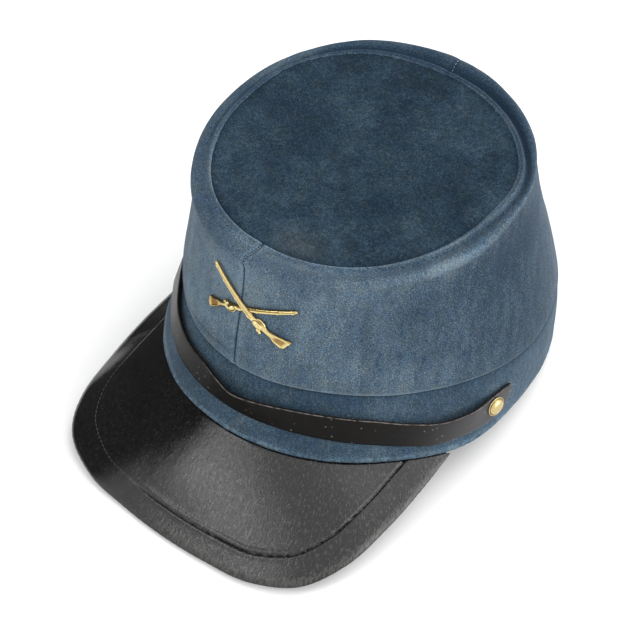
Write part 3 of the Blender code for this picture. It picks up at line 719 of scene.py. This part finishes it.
def crown_side_shape(angle):
    """Smooth outside of one side, from the band to the disc seam, and how far up each row is."""
    seam = ring_points(CROWN_SEAM, angle)
    ridge = pushed(RIDGE, RIDGE_IN, angle)
    disc = pushed(DISC_SEAM, DISC_OUT, angle)
    slant = length(ridge - seam, keepdims=True)
    rim = length(disc - ridge, keepdims=True)
    crisp = hump(np.degrees(angle), FOLD_SHARP_AT, FOLD_SHARP_SPREAD)
    reach = (FOLD_REACH + (FOLD_SHARP - FOLD_REACH) * crisp)[:, None]
    spread = np.linspace(0.0, 1.0, SIDE_ROWS) ** 1.25
    rows = [side_points(angle, (1.0 - reach / slant)[:, 0] * share) for share in spread]
    place = list(spread)
    start = ridge + (seam - ridge) / slant * reach
    end = ridge + (disc - ridge) / rim * np.minimum(reach, 0.45 * rim)
    corner = 2.0 * ridge - 0.5 * (start + end)
    for share in np.linspace(0.0, 1.0, FOLD_ROWS + 1)[1:]:
        rows.append(start * (1 - share) ** 2 + corner * 2 * share * (1 - share) + end * share ** 2)
        place.append(1.0 + share)
    dip = RIM_DIP + RIM_DIP_VARIES * np.cos(angle - radians(RIM_DIP_SIDE))
    for share in np.linspace(0.0, 1.0, RIM_ROWS + 1)[1:]:
        rows.append(end + (disc - end) * share - LEANING_UP * (dip * sin(pi * share))[..., None])
        place.append(2.0 + share)
    return np.stack(rows), np.array(place)[:, None]


def bead_strength(turned):
    """The bead stands full round the back and is pressed flat at the front."""
    starts = np.where(turned > 0.0, 94.0, 66.0)
    return (0.10 + 0.90 * step(np.abs(turned), starts, 9.0)) * (1.0 - 0.35 * hump(turned, 120.0, 40.0))


def crown_side(side, mirror, material):
    """One side of the crown with its turned seams, soft unevenness, ridge, rim and bead."""
    angle = side_columns()[::mirror] * mirror
    turned = np.degrees(angle)
    level, place = crown_side_shape(angle)
    normal = grid_normals(level)
    inner = level - normal * SUEDE
    inner[0] = level[0] - outward(CROWN_SEAM, angle) * SUEDE
    from_seam = np.minimum(np.abs(angle), pi - np.abs(angle)) * length(level[..., :2])
    along = np.cumsum(length(np.diff(level, axis=0, prepend=level[:1])), axis=0)
    pucker = 0.75 + 0.25 * np.cos(2.0 * pi * along / STITCH_PITCH)
    at_back = np.where(np.abs(turned) > 90.0, SEAM_DIP_BACK, 1.0)
    height = -SEAM_DIP * at_back * pucker * np.exp(-from_seam / SEAM_ROLL)
    height += SEAM_FLAP_RISE * at_back * (1.0 - step(from_seam, SEAM_FLAP, 0.0006))
    height += 1.6 * SIDE_UNEVEN * unevenness(level, 0.030, 3.0)
    height += 0.3 * SIDE_UNEVEN * unevenness(level, 0.010, 8.0)
    height += RIM_UNEVEN * unevenness(level, 0.008, 5.0) * np.clip(place - 0.9, 0.0, 1.0)
    on_rim = place > 2.0
    rim = np.clip(place - 2.0, 0.0, 1.0)
    to_disc = (1.0 - rim) * length(level[-1] - level[-1 - RIM_ROWS])
    bead = on_rim * bead_strength(turned)
    height += BEAD_RISE * hump(to_disc, BEAD_WIDTH, BEAD_WIDTH) * bead
    height -= BEAD_GROOVE * hump(to_disc, 2.9 * BEAD_WIDTH, BEAD_WIDTH) * bead
    outer = level + normal * height[..., None]
    mesh = make_mesh(f"crown_side_{side}_suede", closed_shell(outer, inner, wraps=False))
    tone = side_tone(turned, place, from_seam, along, at_back)
    brushed = unevenness(level * [1.0, 1.0, 0.16], 0.0034, 51.0)
    tone += brushed * (0.12 + 0.18 * hump(turned, 98.0, 30.0)) * (place < 1.2)
    for amount, middle, reach in BEAD_SHADES:
        tone += amount * hump(to_disc, middle * BEAD_WIDTH, reach * BEAD_WIDTH) * bead
    for amount, middle, reach in FLAT_BEAD_SHADES:
        tone += amount * hump(to_disc, middle, reach) * (on_rim - bead)
    # painted shade over the wearer's left side, below the ridge
    dim = 0.54 * hump(turned, 99.0, 32.0) * (1.0 - step(place, 1.15, 0.12))
    place_piece(mesh, material, "crown_suede", f"crown_side_{side}", tone=tone, dim=dim)


def crown_top(material):
    """The sunk round top with a slack middle and tiny puckers along its seam."""
    angle = np.linspace(0.0, 2.0 * pi, DISC_COLUMNS, endpoint=False)
    turned = turned_by(angle)
    edge = pushed(DISC_SEAM, DISC_OUT, angle)
    middle = np.array([0.0, DISC_SEAM.centre_y, DISC_SEAM.height])
    reach = length(edge - middle, keepdims=True)
    edge = middle + (edge - middle) * (1.0 - DISC_GAP / reach)
    shares = 1.0 - (1.0 - 0.015) * np.linspace(0.0, 1.0, DISC_ROWS) ** 1.35
    flat = np.stack([middle + (edge - middle) * share for share in shares])
    sunk = DISC_SUNK + DISC_SAG * (1.0 - shares ** 2)
    level = flat - LEANING_UP * sunk[:, None, None]
    from_edge = (1.0 - shares)[:, None] * reach[:, 0]
    height = DISC_UNEVEN * (1.6 * unevenness(level, 0.030, 11.0) + 0.4 * unevenness(level, 0.010, 14.0))
    height += DISC_PUCKER * np.cos(DISC_PUCKERS * angle) * np.exp(-from_edge / 0.0030)
    height -= 0.00025 * np.exp(-from_edge / 0.0009)
    top = level + LEANING_UP * height[..., None]
    points, faces = closed_shell(top, level - LEANING_UP * SUEDE, wraps=True, last_row_open=True)
    hub = top[-1].mean(axis=0)
    points = np.concatenate([points, [hub, hub - LEANING_UP * SUEDE]])
    count = DISC_ROWS * DISC_COLUMNS
    last = count - DISC_COLUMNS
    for column in range(DISC_COLUMNS):
        after = (column + 1) % DISC_COLUMNS
        faces.append([last + column, last + after, 2 * count])
        faces.append([count + last + after, count + last + column, 2 * count + 1])
    mesh = make_mesh("crown_top_suede", (points, faces))
    # painted shade in the seam round the top's edge, and painted light a little in from it and towards the
    # front
    tone = -0.45 * np.exp(-from_edge / 0.0009) + 0.05 * hump(from_edge, 0.0060, 0.0030)
    tone += 0.08 * hump(turned, 10.0, 50.0) * hump(from_edge, 0.0160, 0.0120)
    brown = 0.50 * hump(turned, 12.0, 10.0) * hump(from_edge, 0.0080, 0.0060)
    place_piece(mesh, material, "top_suede", "crown_top", tone=tone, brown=brown)


# ---------------- band

def band(material):
    """The upright band, scuffed and lumpy along its lower edge, with painted light and shade higher up."""
    angle = np.linspace(0.0, 2.0 * pi, BAND_COLUMNS, endpoint=False)
    turned = turned_by(angle)
    spread = np.linspace(0.0, 1.0, BAND_ROWS)
    shares = spread - 0.20 * np.sin(2.0 * pi * spread) / (2.0 * pi)
    level = np.stack([band_points(angle, share) for share in shares])
    tall = level[-1, :, 2] - level[0, :, 2]
    up = shares[:, None] * tall
    down = (1.0 - shares)[:, None] * tall
    height = -EDGE_ROUNDING * np.exp(-up / 0.00045) - CREASE * np.exp(-down / 0.0011)
    height += BAND_UNEVEN * 1.4 * unevenness(level, 0.020, 21.0)
    height += 0.00020 * unevenness(level, 0.0022, 25.0) * np.exp(-up / 0.0030)
    height += TURNED_EDGE * hump(up, 0.0013, 0.0009)
    out = outward(CROWN_SEAM, angle)
    inner = level - out * BAND_WALL
    inner[0] += out * EDGE_THINNING
    mesh = make_mesh("band_suede", closed_shell(level + out * height[..., None], inner, wraps=True))
    fuzz = 0.7 + 1.1 * unevenness(level, 0.0016, 27.0)
    tone = (0.26 + 0.10 * hump(turned, -12.0, 14.0)) * hump(up, 0.0019, 0.0013) * fuzz
    # paler on the wearer's left, and painted shade under the crown's overhang at the top of the band
    tone += 0.06 * hump(turned, 80.0, 26.0) - 0.12 * np.exp(-down / 0.0050)
    tone -= 0.03 * hump(turned, -28.0, 26.0) * (1.0 - step(up, 0.0170, 0.0030))
    tone += 0.45 * hump(turned, -46.0, 16.0) * hump(up, 0.0036, 0.0012)
    # painted light on the upper band just to the wearer's right of the front, where strap and crown shade it
    tone += 0.18 * hump(turned, -22.0, 16.0) * step(up, 0.0180, 0.0030)
    tone -= 0.04 * hump(turned, 24.0, 20.0) * (1.0 - step(up, 0.0100, 0.0030))
    place_piece(mesh, material, "band_suede", "band", tone=tone)


# ---------------- peak

def edge_row(row):
    """Row of the peak's edge table as a point, mirrored or carried on past its ends."""
    last = len(PEAK_EDGE) - 1
    if row > last:
        return 2.0 * edge_row(last) - edge_row(2 * last - row)
    edge = PEAK_EDGE[abs(row)]
    return np.array([edge.half_width if row >= 0 else -edge.half_width, -edge.forward, -edge.drop])


def peak_edge(place):
    """Point of the peak's outer edge; place runs from -1 at the wearer's right end to 1."""
    last = len(PEAK_EDGE) - 1
    along = min(abs(place) * last, last - 1e-9)
    row = int(along)
    point = catmull_rom(*[edge_row(row + offset) for offset in (-1, 0, 1, 2)], along - row)
    point[0] *= np.sign(place) if place else 1.0
    return point - PEAK_CORNER_OUT * hump(place, PEAK_CORNER, 0.12) * np.array([0.78, 0.62, 0.0])


def peak_points(place, share):
    """Upper face of the peak: share 0 at the band, 1 at its outer edge."""
    sewn = band_points(np.array(radians(PEAK_END) * place), 0.0)
    sewn = sewn - UPRIGHT * (PEAK_GAP * (1.0 - place ** 12))
    edge = peak_edge(place)
    share = np.asarray(share, float)[:, None]
    arched = (length((edge - sewn)[:2]) - PEAK_FLAT) / (PEAK_ARCHED - PEAK_FLAT)
    arch = PEAK_ARCH * np.clip(arched, 0.0, 1.0) * np.sin(pi * share)
    return sewn + (edge - sewn) * share + UPRIGHT * arch


def peak_surface():
    """Smooth upper face of the peak and its unit normals, with the tucked row first."""
    shares = np.linspace(0.0, 1.0, PEAK_ROWS)
    columns = []
    for place in np.linspace(-1.0, 1.0, PEAK_COLUMNS + 1):
        sewn = peak_points(place, shares)
        tucked = sewn[:1] - outward(HEAD_EDGE, np.array(radians(PEAK_END) * place)) * PEAK_TUCK
        columns.append(np.concatenate([tucked, sewn]))
    level = np.stack(columns, axis=1)
    normal = grid_normals(level)
    normal *= np.sign(normal[..., 2:3])
    steady = int(PEAK_STEADY * PEAK_COLUMNS)
    normal[:, :steady] = normal[:, steady:steady + 1]
    normal[:, -steady:] = normal[:, -1 - steady:-steady]
    normal[0] = UPRIGHT
    return level, normal


def nearest_edge(level):
    """Distance from each point of the peak to its outer edge, and the place of the nearest edge point."""
    places = np.linspace(-1.0, 1.0, PEAK_EDGE_POINTS)
    edge = np.stack([peak_edge(place) for place in places])
    gaps = [length(row[:, None] - edge) for row in level]
    nearest = [places[gap.argmin(axis=1)] for gap in gaps]
    return np.stack([gap.min(axis=1) for gap in gaps]), np.stack(nearest)


def groove_open(turned):
    """1 where the sewn groove lies open, 0 where it is pulled shut to the wearer's right."""
    return step(turned, -7.0, 4.0)


def peak(material, thread_material):
    """The leather peak with its rolled edge and a sewn groove."""
    level, normal = peak_surface()
    turned = turned_at(level)
    distance, edge_place = nearest_edge(level)
    at_side = step(np.abs(edge_place), 0.33, 0.07)
    inset = GROOVE_INSET_FRONT + (GROOVE_INSET_SIDE - GROOVE_INSET_FRONT) * at_side
    across = distance - inset + 0.00012 * unevenness(level, 0.0016, 31.0)
    opened = (1.0 - GROOVE_SHUT) * groove_open(turned)
    open_groove = GROOVE_SHUT + opened
    height = -GROOVE_DEPTH * hump(across, 0.0, GROOVE_HALF) * open_groove
    height += GROOVE_LIP * hump(across, 0.0014, 0.0010) * opened
    height += 0.5 * GROOVE_LIP * hump(across, -0.0014, 0.0010) * opened
    height += PEAK_UNEVEN * unevenness(level, 0.030, 35.0)
    height -= PEAK_EDGE_FALL * rounded(distance, PEAK_EDGE_REACH)
    under = -PEAK_LEATHER + PEAK_EDGE_UNDER * rounded(distance, PEAK_EDGE_UNDER)
    height[0] = 0.0
    under[0] = -PEAK_LEATHER
    outer = level + normal * height[..., None]
    mesh = make_mesh("peak_leather", closed_shell(outer, level + normal * under[..., None], wraps=False))
    # painted shade in the sewn groove, and darker at the very edge: partly a dark edge finish, partly
    # painted shade of the downward-turned cut edge
    tone = -0.40 * hump(across, 0.0, 1.2 * GROOVE_HALF) * open_groove - 0.30 * hump(distance, 0.0, 0.0006)
    # painted highlights where the rolled edge turns over, on the wearer's left and at the front
    tone += 0.80 * hump(distance, 0.0021, 0.0016) * step(turned, 8.0, 9.0)
    tone += 0.60 * hump(distance, 0.0038, 0.0030) * hump(turned, 6.0, 8.0)
    # painted highlight on the groove's inner lip
    tone += 0.35 * hump(across, 0.0010, 0.0005) * step(turned, 2.0, 9.0)
    # where the grain shows, from the front to the wearer's left: partly wear, partly the painted highlight
    # that brings the grain out
    worn = 0.20 + 0.80 * step(turned, -2.0, 9.0)
    around = HEAD_EDGE.half_length * np.radians(turned_at(outer))
    outwards = np.hypot(outer[..., 0], outer[..., 1])
    painted = {"tone": tone, "worn": worn, "around": around, "outwards": outwards}
    place_piece(mesh, material, "peak_leather", "peak", **painted)
    path = groove_path(level, normal, across)
    points, faces = stitches_along(path, 0.0008, STITCH_PITCH, 0.72, 0.00019, PEAK_STITCH)
    # painted highlight on the stitches on the wearer's right, where the groove is pulled shut
    dusty = 1.0 - step(turned_at(points), -9.0, 3.0)
    place_piece(make_mesh("peak_stitches", (points, faces)), thread_material, "peak_leather", dusty=dusty)


def groove_path(level, normal, across):
    """Points along the bottom of the groove, one for each column that crosses it."""
    path = []
    for column in range(level.shape[1]):
        gap = across[1:, column]
        crossing = np.nonzero((gap[:-1] > 0.0) & (gap[1:] <= 0.0))[0]
        if len(crossing) == 0:
            continue
        row = crossing[-1] + 1
        share = gap[row - 1] / (gap[row - 1] - gap[row])
        point = level[row, column] * (1.0 - share) + level[row + 1, column] * share
        shut = (1.0 - GROOVE_SHUT) * (1.0 - groove_open(turned_at(point)))
        path.append(point - normal[row, column] * (GROOVE_DEPTH * (1.0 - shut) - 0.00022 + 0.00014 * shut))
    return np.stack(path)


# ---------------- stitches

# share of the way along a stitch, width there, and how far it dives in there
PEAK_STITCH = ((0.0, 0.45, 1.0), (0.12, 0.9, 0.3), (0.5, 1.0, 0.0), (0.88, 0.9, 0.3), (1.0, 0.45, 1.0))
SEAM_STITCH = ((0.0, 0.4, 0.0), (0.15, 0.9, 0.0), (0.5, 1.0, 0.0), (0.85, 0.9, 0.0), (1.0, 0.4, 0.0))
STITCH_SIDES = 6


def stitch(start, end, radius, form, side):
    """Mesh data of one stitch: a short round strand."""
    axis = unit(end - start)
    if side is None:
        side = unit(np.cross(axis, UPRIGHT))
    up = np.cross(side, axis)
    turn = np.linspace(0.0, 2.0 * pi, STITCH_SIDES, endpoint=False)
    ring = np.outer(np.cos(turn), side) + np.outer(np.sin(turn), up)
    sections = [start + (end - start) * share - up * radius * sink + radius * width * ring
                for share, width, sink in form]
    return tube(sections)


def stitches_along(path, first, pitch, filled, radius, form, side=None):
    """Mesh data of stitches along a line of points."""
    run = np.concatenate([[0.0], np.cumsum(length(np.diff(path, axis=0)))])
    bodies = []
    for start in np.arange(first, run[-1] - pitch, pitch):
        ends = [start, start + filled * pitch]
        a, b = (np.array([np.interp(end, run, path[:, axis]) for axis in range(3)]) for end in ends)
        bodies.append(stitch(a, b, radius, form, side))
    return joined(bodies)


def seam_stitches(name, angle, first, last, pitch, depth, material):
    """Stitches in a centre seam, between two places: 0 the band, 1 to 2 round the ridge, 3 the disc."""
    level, place = crown_side_shape(angle + np.array([-0.004, 0.0, 0.004]))
    chosen = (place[:, 0] >= first) & (place[:, 0] <= last)
    path = (level - grid_normals(level) * depth)[chosen, 1]
    across = np.array([1.0, 0.0, 0.0])
    mesh = make_mesh(name, stitches_along(path, 0.0, pitch, 0.60, 0.00022, SEAM_STITCH, across))
    place_piece(mesh, material, "crown_suede")


# ---------------- strap

def strap_frame(turned):
    """Low and high edge of the strap's back, and its outward face direction."""
    at = row_at(STRAP, turned)
    rise = sqrt(STRAP_WIDTH ** 2 - (at.high_gap - at.low_gap) ** 2)
    angle = np.array(radians(turned))
    low = band_points(angle, band_share(angle, at.low_edge), at.low_gap)
    high = band_points(angle, band_share(angle, at.low_edge + rise), at.high_gap)
    along = np.cross(UPRIGHT, outward(CROWN_SEAM, angle))
    return low, high, unit(np.cross(along, high - low))


def strap_outline():
    """Cross-section of the strap as shares of its width and thickness, rounded at its edges."""
    up_in = STRAP_ROUND / STRAP_WIDTH
    out_in = STRAP_ROUND / STRAP_LEATHER
    across = np.linspace(0.12, 0.88, 7)
    back = [(up, 0.0) for up in across]
    face = [(up, 1.0 + STRAP_CROWNED * sin(pi * up)) for up in across[::-1]]
    corners = ((up_in, out_in, 180.0, back), (1.0 - up_in, out_in, 270.0, []),
               (1.0 - up_in, 1.0 - out_in, 0.0, face), (up_in, 1.0 - out_in, 90.0, []))
    outline = []
    for up, out, first, run in corners:
        for turn in (0.0, 30.0, 60.0, 90.0):
            bend = radians(first + turn)
            outline.append((up + up_in * cos(bend), out + out_in * sin(bend)))
        outline += run
    return outline


def chin_strap(material):
    """The strap across the front, with softened cut edges and clipped ends."""
    radius = 0.5 * (HEAD_EDGE.half_width + HEAD_EDGE.half_length)
    tip = degrees(STRAP_TIP_LOW / radius)
    near_tip = STRAP_END - tip * (np.linspace(0.0, 1.0, 22) ** 2)
    middle = np.linspace(-STRAP_END + tip, STRAP_END - tip, STRAP_SECTIONS)[1:-1]
    stations = np.concatenate([-near_tip, middle, near_tip[::-1]])
    up, out = np.array(strap_outline()).T
    sections = []
    for turned in stations:
        low, high, face = strap_frame(turned)
        from_tip = radians(STRAP_END - abs(turned)) * radius
        low_share = STRAP_TIP_HEIGHT * rounded(from_tip, STRAP_TIP_LOW)
        high_share = 1.0 - (1.0 - STRAP_TIP_HEIGHT - STRAP_TIP_END) * rounded(from_tip, STRAP_TIP_HIGH)
        share = low_share + (high_share - low_share) * up[:, None]
        sections.append(low + (high - low) * share + face * (out[:, None] * STRAP_LEATHER))
    points, faces = tube(sections)
    points[:, 2] += 0.00010 * unevenness(points, 0.012, 41.0)
    mesh = make_mesh("chin_strap_leather", (points, faces))
    # cut edges, painted near black partly as painted shade
    cut_edge = np.minimum(up, 1.0 - up) < 0.3 * STRAP_ROUND / STRAP_WIDTH
    at_top = up > 1.0 - 0.9 * STRAP_ROUND / STRAP_WIDTH
    at_face = out > 1.0 - 0.9 * STRAP_ROUND / STRAP_LEATHER
    edge = np.tile(cut_edge, len(stations))
    # pale upper corner, stronger from the front to the wearer's left: partly wear, partly a painted
    # highlight
    rubbed = (0.25 + 0.75 * step(stations, -9.0, 4.0))[:, None] * (at_top & at_face)
    # painted reflection, greyer towards both ends, a little less on the wearer's left
    grey = step(np.abs(stations), 63.0, 10.0) * np.where(stations > 0.0, 0.8, 1.0)
    grey = np.repeat(grey, len(up))
    place_piece(mesh, material, "strap_leather", "chin_strap", edge=edge, rubbed=rubbed, grey=grey)


# ---------------- brass

def button(side, mirror, material):
    """Domed button with a rolled rim, and the shank that goes through the strap."""
    low, high, face = strap_frame(mirror * BUTTON_ANGLE)
    turn = np.linspace(0.0, 2.0 * pi, BUTTON_TURNS, endpoint=False)
    rings = [np.stack([radius * np.cos(turn), radius * np.sin(turn), np.full_like(turn, height)], axis=-1)
             for radius, height in BUTTON_PROFILE]
    points, faces = tube(rings)
    place = 0.5 * (low + high) + unit(high - low) * BUTTON_RISE + face * (STRAP_LEATHER + BUTTON_STAND)
    facing = np.array(Vector(face).to_track_quat("Z", "Y").to_matrix())
    mesh = make_mesh(f"button_{side}_brass", (points @ facing.T + place, faces), sharp_angle=80.0)
    deep = hump(length(points[:, :2]), BUTTON_DISH, 0.00022) + 0.5 * (points[:, 2] < 0.0002) + 0.25
    place_piece(mesh, material, "button_brass", f"button_{side}", deep=deep)


def badge_point(across, up, height):
    """Points over the front of the crown: across and up from where the barrels cross."""
    centre = radians(BADGE_ANGLE)
    rise = length(ring_points(RIDGE, centre) - ring_points(CROWN_SEAM, centre))
    near = 0.01
    level = side_points(np.array([centre - near, centre + near]), BADGE_SHARE)
    metres_per_radian = length(level[1] - level[0]) / (2.0 * near)
    angle = centre + np.asarray(across) / metres_per_radian
    point = side_points(angle, BADGE_SHARE + np.asarray(up) / rise)
    return point + outward(RIDGE, angle) * np.asarray(height)[..., None]


def on_rifle(rifle, along, aside, height):
    """Points of a rifle, from its own length, side and height."""
    slope = radians(rifle.slope)
    run = np.asarray(along) * RIFLE_LENGTH - rifle.from_butt
    across = run * cos(slope) - aside * sin(slope)
    up = run * sin(slope) + aside * cos(slope)
    return badge_point(across, up, RIFLE_CLEAR + rifle.lift + height)


def cast(rings):
    """Mesh data of a tube through rings of points and profile heights, and how deep each point lies."""
    sections, profiles = zip(*rings)
    return *tube(sections), np.clip((0.80 - np.concatenate(profiles)) / 0.45, 0.0, 1.0)


def rifle_body(rifle, first=0.0, last=1.0, fatter=1.0, prouder=0.0, steps=120):
    """A stretch of the rifle: a framed panel on the butt, and a barrel lying in a grooved stock."""
    rings = []
    stretch = np.linspace(first, last, steps)
    for along in stretch:
        at = row_at(RIFLE_STATIONS, along)
        on_butt = step(along, 0.028, 0.008) * (1.0 - step(along, 0.125, 0.012))
        on_barrel = step(along, 0.37, 0.01) * (1.0 - step(along, 0.975, 0.006))
        profile = PLAIN + (PANEL - PLAIN) * on_butt + (BARREL - PLAIN) * on_barrel
        aside = at.offset + at.half_width * fatter * ACROSS
        height = RIFLE_RELIEF * (at.depth + prouder) * profile
        rings.append((on_rifle(rifle, along, aside, height), profile))
    points, faces, deep = cast(rings)
    dull = rifle.dull_butt * (1.0 - step(stretch, 0.20, 0.03))
    return points, faces, deep + np.repeat(dull, len(ACROSS))


def rifle_boss(rifle, along, aside, half_length, half_width, height):
    """A small raised boss, such as the lock or the hammer."""
    turn = 2.0 * pi * (np.arange(BOSS_SIDES) + 0.5) / BOSS_SIDES
    rings = []
    for share in np.linspace(-0.96, 0.96, BOSS_RINGS):
        round_off = sqrt(1.0 - share ** 2)
        at = along + share * half_length / RIFLE_LENGTH
        across = aside + half_width * round_off * np.cos(turn)
        profile = 0.5 + 0.5 * round_off * np.sin(turn)
        rings.append((on_rifle(rifle, at, across, height * profile), profile))
    return cast(rings)


def trigger_guard(rifle, along, aside, half_length, reach, wire):
    """A small bow that leaves the stock and comes back to it."""
    turn = 2.0 * pi * np.arange(GUARD_SIDES) / GUARD_SIDES
    sections = []
    for bend in np.linspace(0.0, pi, GUARD_RINGS):
        out = wire * np.cos(turn)
        at = along + (half_length + out) * cos(bend) / RIFLE_LENGTH
        height = 0.00055 + wire * np.sin(turn)
        sections.append(on_rifle(rifle, at, aside - (reach + out) * sin(bend), height))
    return *tube(sections), np.full(GUARD_RINGS * GUARD_SIDES, GUARD_DULL)


def rifle_parts(rifle):
    """All that one rifle is cast from: body, bands, lock, hammer and guard."""
    # bands: where each begins and ends, how much fatter and prouder it is, and its rings
    bands = ((0.395, 0.425, 1.22, 0.10, 6), (0.600, 0.618, 1.20, 0.10, 5),
             (0.800, 0.822, 1.25, 0.12, 5), (0.940, 0.965, 1.25, 0.12, 5))
    # bosses: place along and aside, half length, half width and height
    bosses = ((0.300, -0.00030, 0.0026, 0.0014, 0.0024), (0.262, 0.00130, 0.0011, 0.0008, 0.0019),
              (0.238, 0.00175, 0.0008, 0.0006, 0.0017))
    return [rifle_body(rifle), *(rifle_body(rifle, *row) for row in bands),
            *(rifle_boss(rifle, *row) for row in bosses),
            trigger_guard(rifle, 0.292, -0.00120, 0.0024, 0.0014, 0.00036)]


def crossed_rifles(material):
    """Two cast rifles soldered where they cross, one over the other."""
    bodies = []
    parts = rifle_parts(RIFLE_OVER) + rifle_parts(RIFLE_UNDER)
    for number, (points, faces, _) in enumerate(parts):
        name = f"rifle_part_{number}"
        bodies.append(bpy.data.objects.new(name, make_mesh(name, (points, faces))))
        bpy.context.collection.objects.link(bodies[-1])
    for body in bodies[1:]:
        union = bodies[0].modifiers.new("solder", "BOOLEAN")
        union.operation = "UNION"
        union.solver = "EXACT"
        union.object = body
    bpy.context.view_layer.update()
    soldered = bodies[0].evaluated_get(bpy.context.evaluated_depsgraph_get())
    mesh = bpy.data.meshes.new_from_object(soldered)
    mesh.name = "crossed_rifles_brass"
    for body in bodies:
        bpy.data.objects.remove(body, do_unlink=True)
    mesh.shade_smooth()
    mesh.set_sharp_from_angle(angle=radians(38.0))
    cast_points = np.concatenate([points for points, _, _ in parts])
    cast_deep = np.concatenate([deep for _, _, deep in parts])
    nearest = KDTree(len(cast_points))
    for number, point in enumerate(cast_points):
        nearest.insert(point, number)
    nearest.balance()
    deep = [cast_deep[nearest.find(vertex.co)[1]] for vertex in mesh.vertices]
    place_piece(mesh, material, "badge_brass", "crossed_rifles_badge", deep=deep)


# ---------------- studio

def add_camera():
    data = bpy.data.cameras.new("camera")
    data.sensor_width = 36.0
    data.lens = CAMERA_LENS
    data.clip_start = 0.01
    camera = bpy.data.objects.new("camera", data)
    bpy.context.collection.objects.link(camera)
    aim = (CAMERA_AIM - CAMERA_PLACE).to_track_quat("-Z", "Y").to_matrix().to_4x4()
    roll = Matrix.Rotation(radians(CAMERA_ROLL), 4, "Z")
    camera.matrix_world = Matrix.Translation(CAMERA_PLACE) @ aim @ roll
    bpy.context.scene.camera = camera


TENT = 1.40                 # brightness of the white tent round the cap
Softbox = namedtuple("Softbox", "azimuth elevation half_angle softness strength")
SOFTBOXES = [Softbox(*row) for row in (
    (-28.0, 48.0, 5.0, 9.0, 4.8), (108.0, 12.0, 13.0, 18.0, 3.4), (150.0, 58.0, 12.0, 14.0, 1.4),
    (-178.0, 35.0, 16.0, 16.0, 0.8),
    (-98.0, 12.0, 51.0, 9.0, -1.30),    # and the side that is left dark
)]


def studio_light():
    """A white tent with brighter panels, and one side of it left dark."""
    world = bpy.data.worlds.new("studio")
    bpy.context.scene.world = world
    world.use_nodes = True
    sky = Nodes(world.node_tree)
    direction = sky.node("TexCoord").outputs["Generated"]
    levels = [TENT]
    for box in SOFTBOXES:
        azimuth = radians(box.azimuth)
        rise = radians(box.elevation)
        towards = (sin(azimuth) * cos(rise), -cos(azimuth) * cos(rise), sin(rise))
        facing = sky.node("VectorMath", {0: direction, 1: towards}, operation="DOT_PRODUCT").outputs["Value"]
        fades_at = cos(radians(box.half_angle + box.softness))
        levels.append(sky.stretch(facing, fades_at, cos(radians(box.half_angle)), box.strength))
    background = sky.tree.nodes["Background"]
    sky.link(sky.total(*levels), background.inputs["Strength"])
    background.inputs["Color"].default_value = (1.0, 1.0, 1.0, 1.0)


def floor():
    """Plain pale floor."""
    half = 20.0
    mesh = bpy.data.meshes.new("floor")
    corners = [(-half, -half, 0.0), (half, -half, 0.0), (half, half, 0.0), (-half, half, 0.0)]
    mesh.from_pydata(corners, [], [(0, 1, 2, 3)])
    s = Shading("floor_paint")
    colour = s.mix(s.noise(30.0, 3.0, 0.5), (0.90, 0.90, 0.90), (0.92, 0.92, 0.92))
    mesh.materials.append(s.finish(colour, 0.9, Specular_IOR_Level=0.1))
    piece = bpy.data.objects.new("floor", mesh)
    bpy.context.collection.objects.link(piece)
    piece.location.z = -0.0002


# ---------------- the whole


def dress_cap():
    sides = (("left", 1), ("right", -1))
    side_suede = suede("blue_suede_sides", SIDE_COLOURS, napped=2.2)
    for side, mirror in sides:
        crown_side(side, mirror, side_suede)
    crown_top(suede("blue_suede_top", TOP_COLOURS, sheen=0.05, uneven=2.2, cloudy=1.05))
    band(suede("blue_suede_band", BAND_COLOURS, cloudy=0.55, napped=1.6))
    black_thread = thread("black_thread", (0.004, 0.004, 0.005), (0.020, 0.020, 0.022))
    peak(peak_leather(), black_thread)
    chin_strap(strap_leather())
    button_brass = brass("button_brass", (0.62, 0.50, 0.24), (0.10, 0.07, 0.025), 0.15)
    for side, mirror in sides:
        button(side, mirror, button_brass)
    crossed_rifles(brass("badge_brass", (0.62, 0.51, 0.24), (0.21, 0.105, 0.025), 0.16))
    faded_thread = thread("faded_thread", (0.03, 0.045, 0.06), (0.30, 0.36, 0.41))
    seam_stitches("front_seam_stitches", 0.0, 0.45, 1.5, 0.0017, 0.00035, black_thread)
    seam_stitches("front_rim_stitches", 0.0, 1.2, 2.95, 0.0013, 0.00010, faded_thread)
    seam_stitches("back_rim_stitches", pi, 1.2, 2.95, 0.0017, 0.00010, faded_thread)


bpy.context.scene.view_settings.view_transform = "Standard"
add_camera()
studio_light()
floor()
dress_cap()
